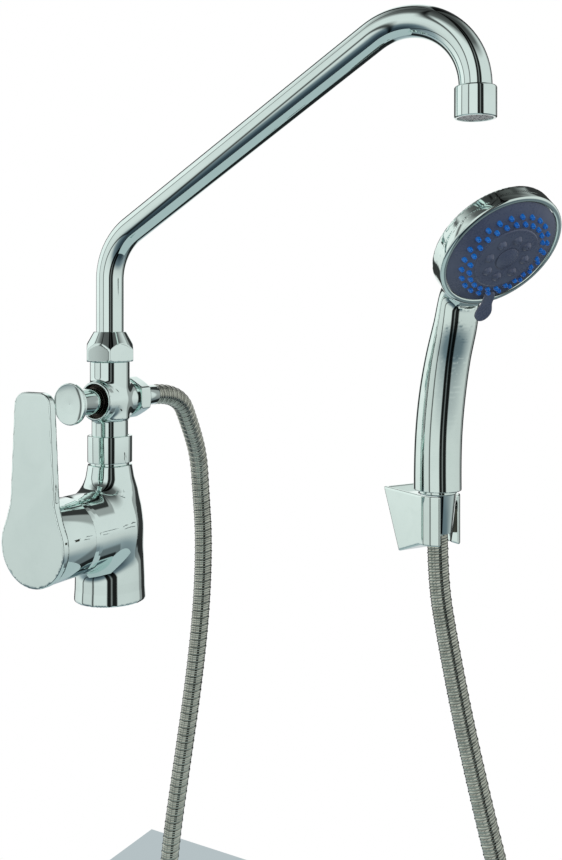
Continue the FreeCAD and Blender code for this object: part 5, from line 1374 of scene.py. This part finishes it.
def turned_copies(name, section, spots, matrix, around=24, soft=0.12):
    """One small turned shape at many (x, y, z) places, as a single piece."""
    section = soften(outline(section), soft, 3)
    section = np.array([(max(r, AXIS_HOLE), z) for r, z in section])
    around = around
    angles = np.arange(around) * math.tau / around
    rows = [(r * np.cos(angles), r * np.sin(angles), np.full(around, z)) for r, z in section]
    shape = np.concatenate([np.stack(row, axis=1) for row in rows])
    points, faces = [], []
    for spot in spots:
        first = len(points) * len(shape)
        points.append(shape + np.array(spot))
        for row in range(len(section) - 1):
            for step in range(around):
                on = (step + 1) % around
                a, b = first + row * around, first + (row + 1) * around
                faces.append((a + step, a + on, b + on, b + step))
    return make_object(name, np.concatenate(points), faces, matrix)


FACE_EDGE, FACE_CREST = (37.1, -0.8), (21.7, 4.4)
NOZZLE = [(1.55, -1.0), (1.5, 1.0), (1.2, 2.1), (0.8, 2.3), (0.45, 2.25), (0.4, 1.2), (0, 1.2)]
NOZZLE_COUNT = 24
NOZZLE_RINGS = ((24.6, 0.0), (29.0, 7.5))


def face_height(radius):
    """The height of the face's cone at a radius."""
    fall = (FACE_CREST[1] - FACE_EDGE[1]) / (FACE_EDGE[0] - FACE_CREST[0])
    return (FACE_EDGE[0] - radius) * fall + FACE_EDGE[1]


def circle_of(count, radius, first, height):
    """Places evenly round a circle, the first at an angle in degrees."""
    angles = [math.radians(first + 360 * step / count) for step in range(count)]
    return [(radius * math.cos(a), radius * math.sin(a), height) for a in angles]


spots = []
for radius, first in NOZZLE_RINGS:
    spots += circle_of(NOZZLE_COUNT, radius, first, face_height(radius))
nozzles = turned_copies("blue_nozzles", NOZZLE, spots, AT_FACE)
finish_piece(nozzles, "selector", "blue_rubber", "jet_mat")

# %% [markdown]
# ## Middle disc
#
# A raised disc covers the middle of the face, with eight larger spray domes on it and a slightly domed cap in
# a shallow recess. Disc and cap are lathes, and the domes are repeated as the nozzles are.

# %% Middle disc
DOME_COUNT, DOME_RING = 8, 13.6
DISC = [(0, 3.2), (21.7, 3.2), (21.7, 4.6), (21.0, 5.2), (8.2, 5.2), (7.9, 5.0), (0, 5.0)]
disc = lathe("middle_disc", DISC, AT_FACE, 0.2, 160)
finish_piece(disc, "selector", "grey_plastic", "centre_disc")
DOME = [(3.1, 5.1), (2.7, 6.0), (1.9, 6.9), (1.0, 7.3), (0.5, 7.25), (0.45, 6.3), (0, 6.3)]
domes = turned_copies("spray_domes", DOME, circle_of(DOME_COUNT, DOME_RING, 0.0, 0.0), AT_FACE)
finish_piece(domes, "selector", "grey_plastic", "centre_jets")
CAP = [(0, 5.0), (7.5, 5.0), (7.5, 5.8, 28.6), (0, 6.8)]
cap = lathe("middle_cap", CAP, AT_FACE, 0.3)
finish_piece(cap, "selector", "grey_plastic", "centre_cap")

# %% [markdown]
# ## Selector tab
#
# A tear-shaped tab reaches over the rim, to turn the face by. Two flat fields, a tongue and a pear, are
# joined and given a thickness, because a smooth minimum leaves the soft waist between them by itself.

# %% Selector tab
TAB_TURN = math.radians(-78)
TONGUE_MIDDLE, TONGUE_HALF, TONGUE_RADIUS = 39.0, 7.0, 3.6
PEAR_MIDDLE, PEAR_STRETCH, PEAR_RADIUS = 46.5, 0.86, 5.4
TAB_MIDDLE, TAB_HALF, TAB_EDGE = 2.5, 1.3, 0.8


def tab_field(points):
    x, y, z = points.T
    out = x * math.cos(TAB_TURN) + y * math.sin(TAB_TURN)
    side = -x * math.sin(TAB_TURN) + y * math.cos(TAB_TURN)
    past = np.maximum(np.abs(out - TONGUE_MIDDLE) - TONGUE_HALF, 0)
    tongue = np.hypot(past, side) - TONGUE_RADIUS
    pear = np.hypot((out - PEAR_MIDDLE) * PEAR_STRETCH, side) - PEAR_RADIUS
    return slab(joined(tongue, pear, 4.0), z - TAB_MIDDLE, TAB_HALF, TAB_EDGE)


tab = skin("selector_tab", tab_field, (-10, -58, 0), (26, -26, 5), 0.5, AT_FACE)
finish_piece(tab, "selector", "grey_plastic")

# %% [markdown]
# ## Tent
#
# Chrome is mostly a picture of the room it stands in. The room here is a white tent with dark upright walls,
# which draw the crisp lines along every tube. It also darkens low down and overhead, more on the camera's
# side. Both are colour ramps over directions of the world: the walls round the horizon, the shades from
# straight down to straight up.

# %% Tent
# Each wall ends at an angle from the camera's side, in degrees, and has a level.
TENT_WALLS = [
    (-168, 1.0),
    (-141, 0.05),
    (-91, 0.97),
    (-86, 0.10),
    (-50, 0.80),
    (-44, 0.08),
    (0, 0.86),
    (13, 0.015),
    (17, 0.30),
    (33, 0.015),
    (120, 0.78),
    (135, 0.38),
    (166, 0.04),
    (180, 1.0),
]
WALL_EDGE = 1.6
CAMERA_SIDE = [
    (0.0, (0.015, 0.018, 0.02)),
    (0.16, (0.05, 0.075, 0.10)),
    (0.27, (0.20, 0.25, 0.29)),
    (0.37, 0.86),
    (0.5, 1.0),
    (0.78, 0.98),
    (0.88, 0.16),
    (1.0, 0.05),
]
FAR_SIDE = [
    (0.0, (0.03, 0.035, 0.04)),
    (0.12, (0.30, 0.35, 0.38)),
    (0.26, (0.42, 0.48, 0.52)),
    (0.38, 0.80),
    (0.5, 1.0),
    (0.88, 0.94),
    (0.95, 0.20),
    (1.0, 0.12),
]


def wall_stops():
    """The walls as stops of a colour ramp, with a soft edge between each two."""
    stops = [(0.0, TENT_WALLS[0][1])]
    for (end, level), (_, after) in zip(TENT_WALLS, TENT_WALLS[1:]):
        stops += [((end - WALL_EDGE + 180) / 360, level), ((end + WALL_EDGE + 180) / 360, after)]
    return stops


print("tent of", len(TENT_WALLS), "walls,", len(wall_stops()), "stops")

# %% [markdown]
# ## The tent's colour
#
# The direction of a ray gives an angle round the horizon and a height. The angle picks the wall, the height
# picks the shade, and their product is the tent's colour there.

# %% The tent's colour
CAMERA_BEARING = math.radians(VIEW_AZIMUTH - 90)
FAR_FROM, FAR_TO = 0.2, 0.36


def ramp_of(tree, value, stops):
    """A colour ramp of (position, level or colour) stops."""
    ramp = tree.nodes.new("ShaderNodeValToRGB")
    elements = ramp.color_ramp.elements
    while len(elements) < len(stops):
        elements.new(0.5)
    for element, (position, level) in zip(elements, stops):
        element.position = position
        element.color = (*level, 1) if isinstance(level, tuple) else (level, level, level, 1)
    tree.links.new(value, ramp.inputs["Fac"])
    return ramp.outputs["Color"]


def tent_colour(tree):
    """The tent's colour in each direction of the world."""
    way = tree.nodes.new("ShaderNodeTexCoord").outputs["Generated"]
    split = tree.nodes.new("ShaderNodeSeparateXYZ")
    tree.links.new(way, split.inputs["Vector"])
    angle = add_math(tree, split.outputs["Y"], split.outputs["X"], "ARCTAN2")
    shifted = add_math(tree, add_math(tree, angle, math.pi - CAMERA_BEARING), math.tau, "FLOORED_MODULO")
    turn_part = add_math(tree, shifted, math.tau, "DIVIDE")
    height = add_range(tree, split.outputs["Z"], -1, 1, 0, 1)
    from_camera = add_math(tree, add_math(tree, turn_part, 0.5, "SUBTRACT"), 0, "ABSOLUTE")
    farness = add_range(tree, from_camera, FAR_FROM, FAR_TO, 0, 1)
    near, far = ramp_of(tree, height, CAMERA_SIDE), ramp_of(tree, height, FAR_SIDE)
    shade = add_mix(tree, farness, near, far)
    return add_mix(tree, 1.0, ramp_of(tree, turn_part, wall_stops()), shade, "MULTIPLY")


print("the camera's side lies at", round(math.degrees(CAMERA_BEARING)), "degrees")

# %% [markdown]
# ## World
#
# Light Path tells what kind of ray asks for the world's colour. The camera and light through clear parts get
# plain white, so the background is white without more light on the object. Mirror and diffuse rays get the
# tent, which is as white straight behind the object and has the dark walls that the metal shows.

# %% World


def choose_by_ray(tree, kinds, others, seen):
    """The seen shader for the named kinds of rays, and the other one for the rest."""
    paths = tree.nodes.new("ShaderNodeLightPath")
    mask = paths.outputs[kinds[0]]
    for kind in kinds[1:]:
        mask = add_math(tree, mask, paths.outputs[kind], "MAXIMUM")
    choose = tree.nodes.new("ShaderNodeMixShader")
    tree.links.new(mask, choose.inputs["Fac"])
    tree.links.new(others, choose.inputs[1])
    tree.links.new(seen, choose.inputs[2])
    return choose.outputs["Shader"]


def build_world():
    """Plain white for the camera and clear parts, and the tent for all other rays."""
    world = bpy.data.worlds.new("white_tent")
    bpy.context.scene.world = world
    world.use_nodes = True
    tree = world.node_tree
    tree.nodes.clear()
    tent = tree.nodes.new("ShaderNodeBackground")
    tree.links.new(tent_colour(tree), tent.inputs["Color"])
    plain = tree.nodes.new("ShaderNodeBackground")
    plain.inputs["Color"].default_value = (1, 1, 1, 1)
    kinds = ("Is Camera Ray", "Is Transmission Ray")
    result = tree.nodes.new("ShaderNodeOutputWorld")
    surface = choose_by_ray(tree, kinds, tent.outputs["Background"], plain.outputs["Background"])
    tree.links.new(surface, result.inputs["Surface"])
    return world


print("world:", build_world().name)

# %% [markdown]
# ## Lamps
#
# Two large soft lamps add to the tent's light. They leave no mirror image, because a bright square in the
# chrome would say more of the lamps than of the object. The hand shower, its holder and the hose leave none
# either, in the tap or in each other, so the lines of the tent run through unbroken.

# %% Lamps
LAMP_AIM = (0.1, 0, 0.1)
APART = (
    "handset_moulding",
    "trim_ring",
    "face_cone",
    "blue_nozzles",
    "middle_disc",
    "spray_domes",
    "middle_cap",
    "selector_tab",
    "holder_moulding",
    "hand_cone_nut",
    "hose_end_sleeve",
    "wound_hose",
)


def area_light(name, spot, size, power):
    """A soft rectangular lamp that aims at the object."""
    data = bpy.data.lights.new(name, "AREA")
    data.shape = "RECTANGLE"
    data.size, data.size_y = size
    data.energy = power
    lamp = bpy.data.objects.new(name, data)
    lamp.location = spot
    lamp.rotation_euler = (Vector(LAMP_AIM) - Vector(spot)).to_track_quat("-Z", "Y").to_euler()
    lamp.visible_glossy = False
    bpy.context.scene.collection.objects.link(lamp)
    print(name, "of", power, "W at", spot)


area_light("soft_key", (-0.9, -1.0, 1.1), (0.9, 0.9), 2.6)
area_light("soft_fill", (1.2, -0.6, 0.5), (0.8, 1.2), 2.0)
for piece_name in APART:
    bpy.data.objects[piece_name].visible_glossy = False

# %% [markdown]
# ## Floor
#
# A plain floor, 0.9 m square, lies a little under the hose's loop. The camera and mirror rays see it as one
# even grey-blue, darker than its own pale surface, so that the undersides of the tap don't mirror a bright
# sheet. Light still falls on the pale surface and is thrown back up from it.

# %% Floor
FLOOR_GAP = 0.03
FLOOR_CORNERS = [(-340, -410, 0), (560, -410, 0), (560, 490, 0), (-340, 490, 0)]
FLOOR_COLOUR = (0.86, 0.87, 0.87, 1)
SEEN_TONE = (0.46, 0.53, 0.55, 1)


def floor_material():
    """A pale surface that the camera and mirror rays see as one even tone."""
    material = bpy.data.materials.new("pale_floor")
    material.use_nodes = True
    tree = material.node_tree
    shader = tree.nodes["Principled BSDF"]
    shader.inputs["Base Color"].default_value = FLOOR_COLOUR
    shader.inputs["Roughness"].default_value = 0.8
    glow = tree.nodes.new("ShaderNodeEmission")
    glow.inputs["Color"].default_value = SEEN_TONE
    kinds = ("Is Camera Ray", "Is Glossy Ray", "Is Transmission Ray")
    surface = choose_by_ray(tree, kinds, shader.outputs["BSDF"], glow.outputs["Emission"])
    tree.links.new(surface, tree.nodes["Material Output"].inputs["Surface"])
    return material


floor_height = float(cad_low[2]) - FLOOR_GAP
floor_place = place((0, 0, floor_height / MILLIMETRE), (1, 0, 0), (0, 0, 1))
floor = make_object("pale_floor", FLOOR_CORNERS, [(0, 1, 2, 3)], floor_place)
floor.data.materials.append(floor_material())
bpy.context.scene.view_settings.view_transform = "Standard"
print("floor at", round(floor_height, 4), "m")
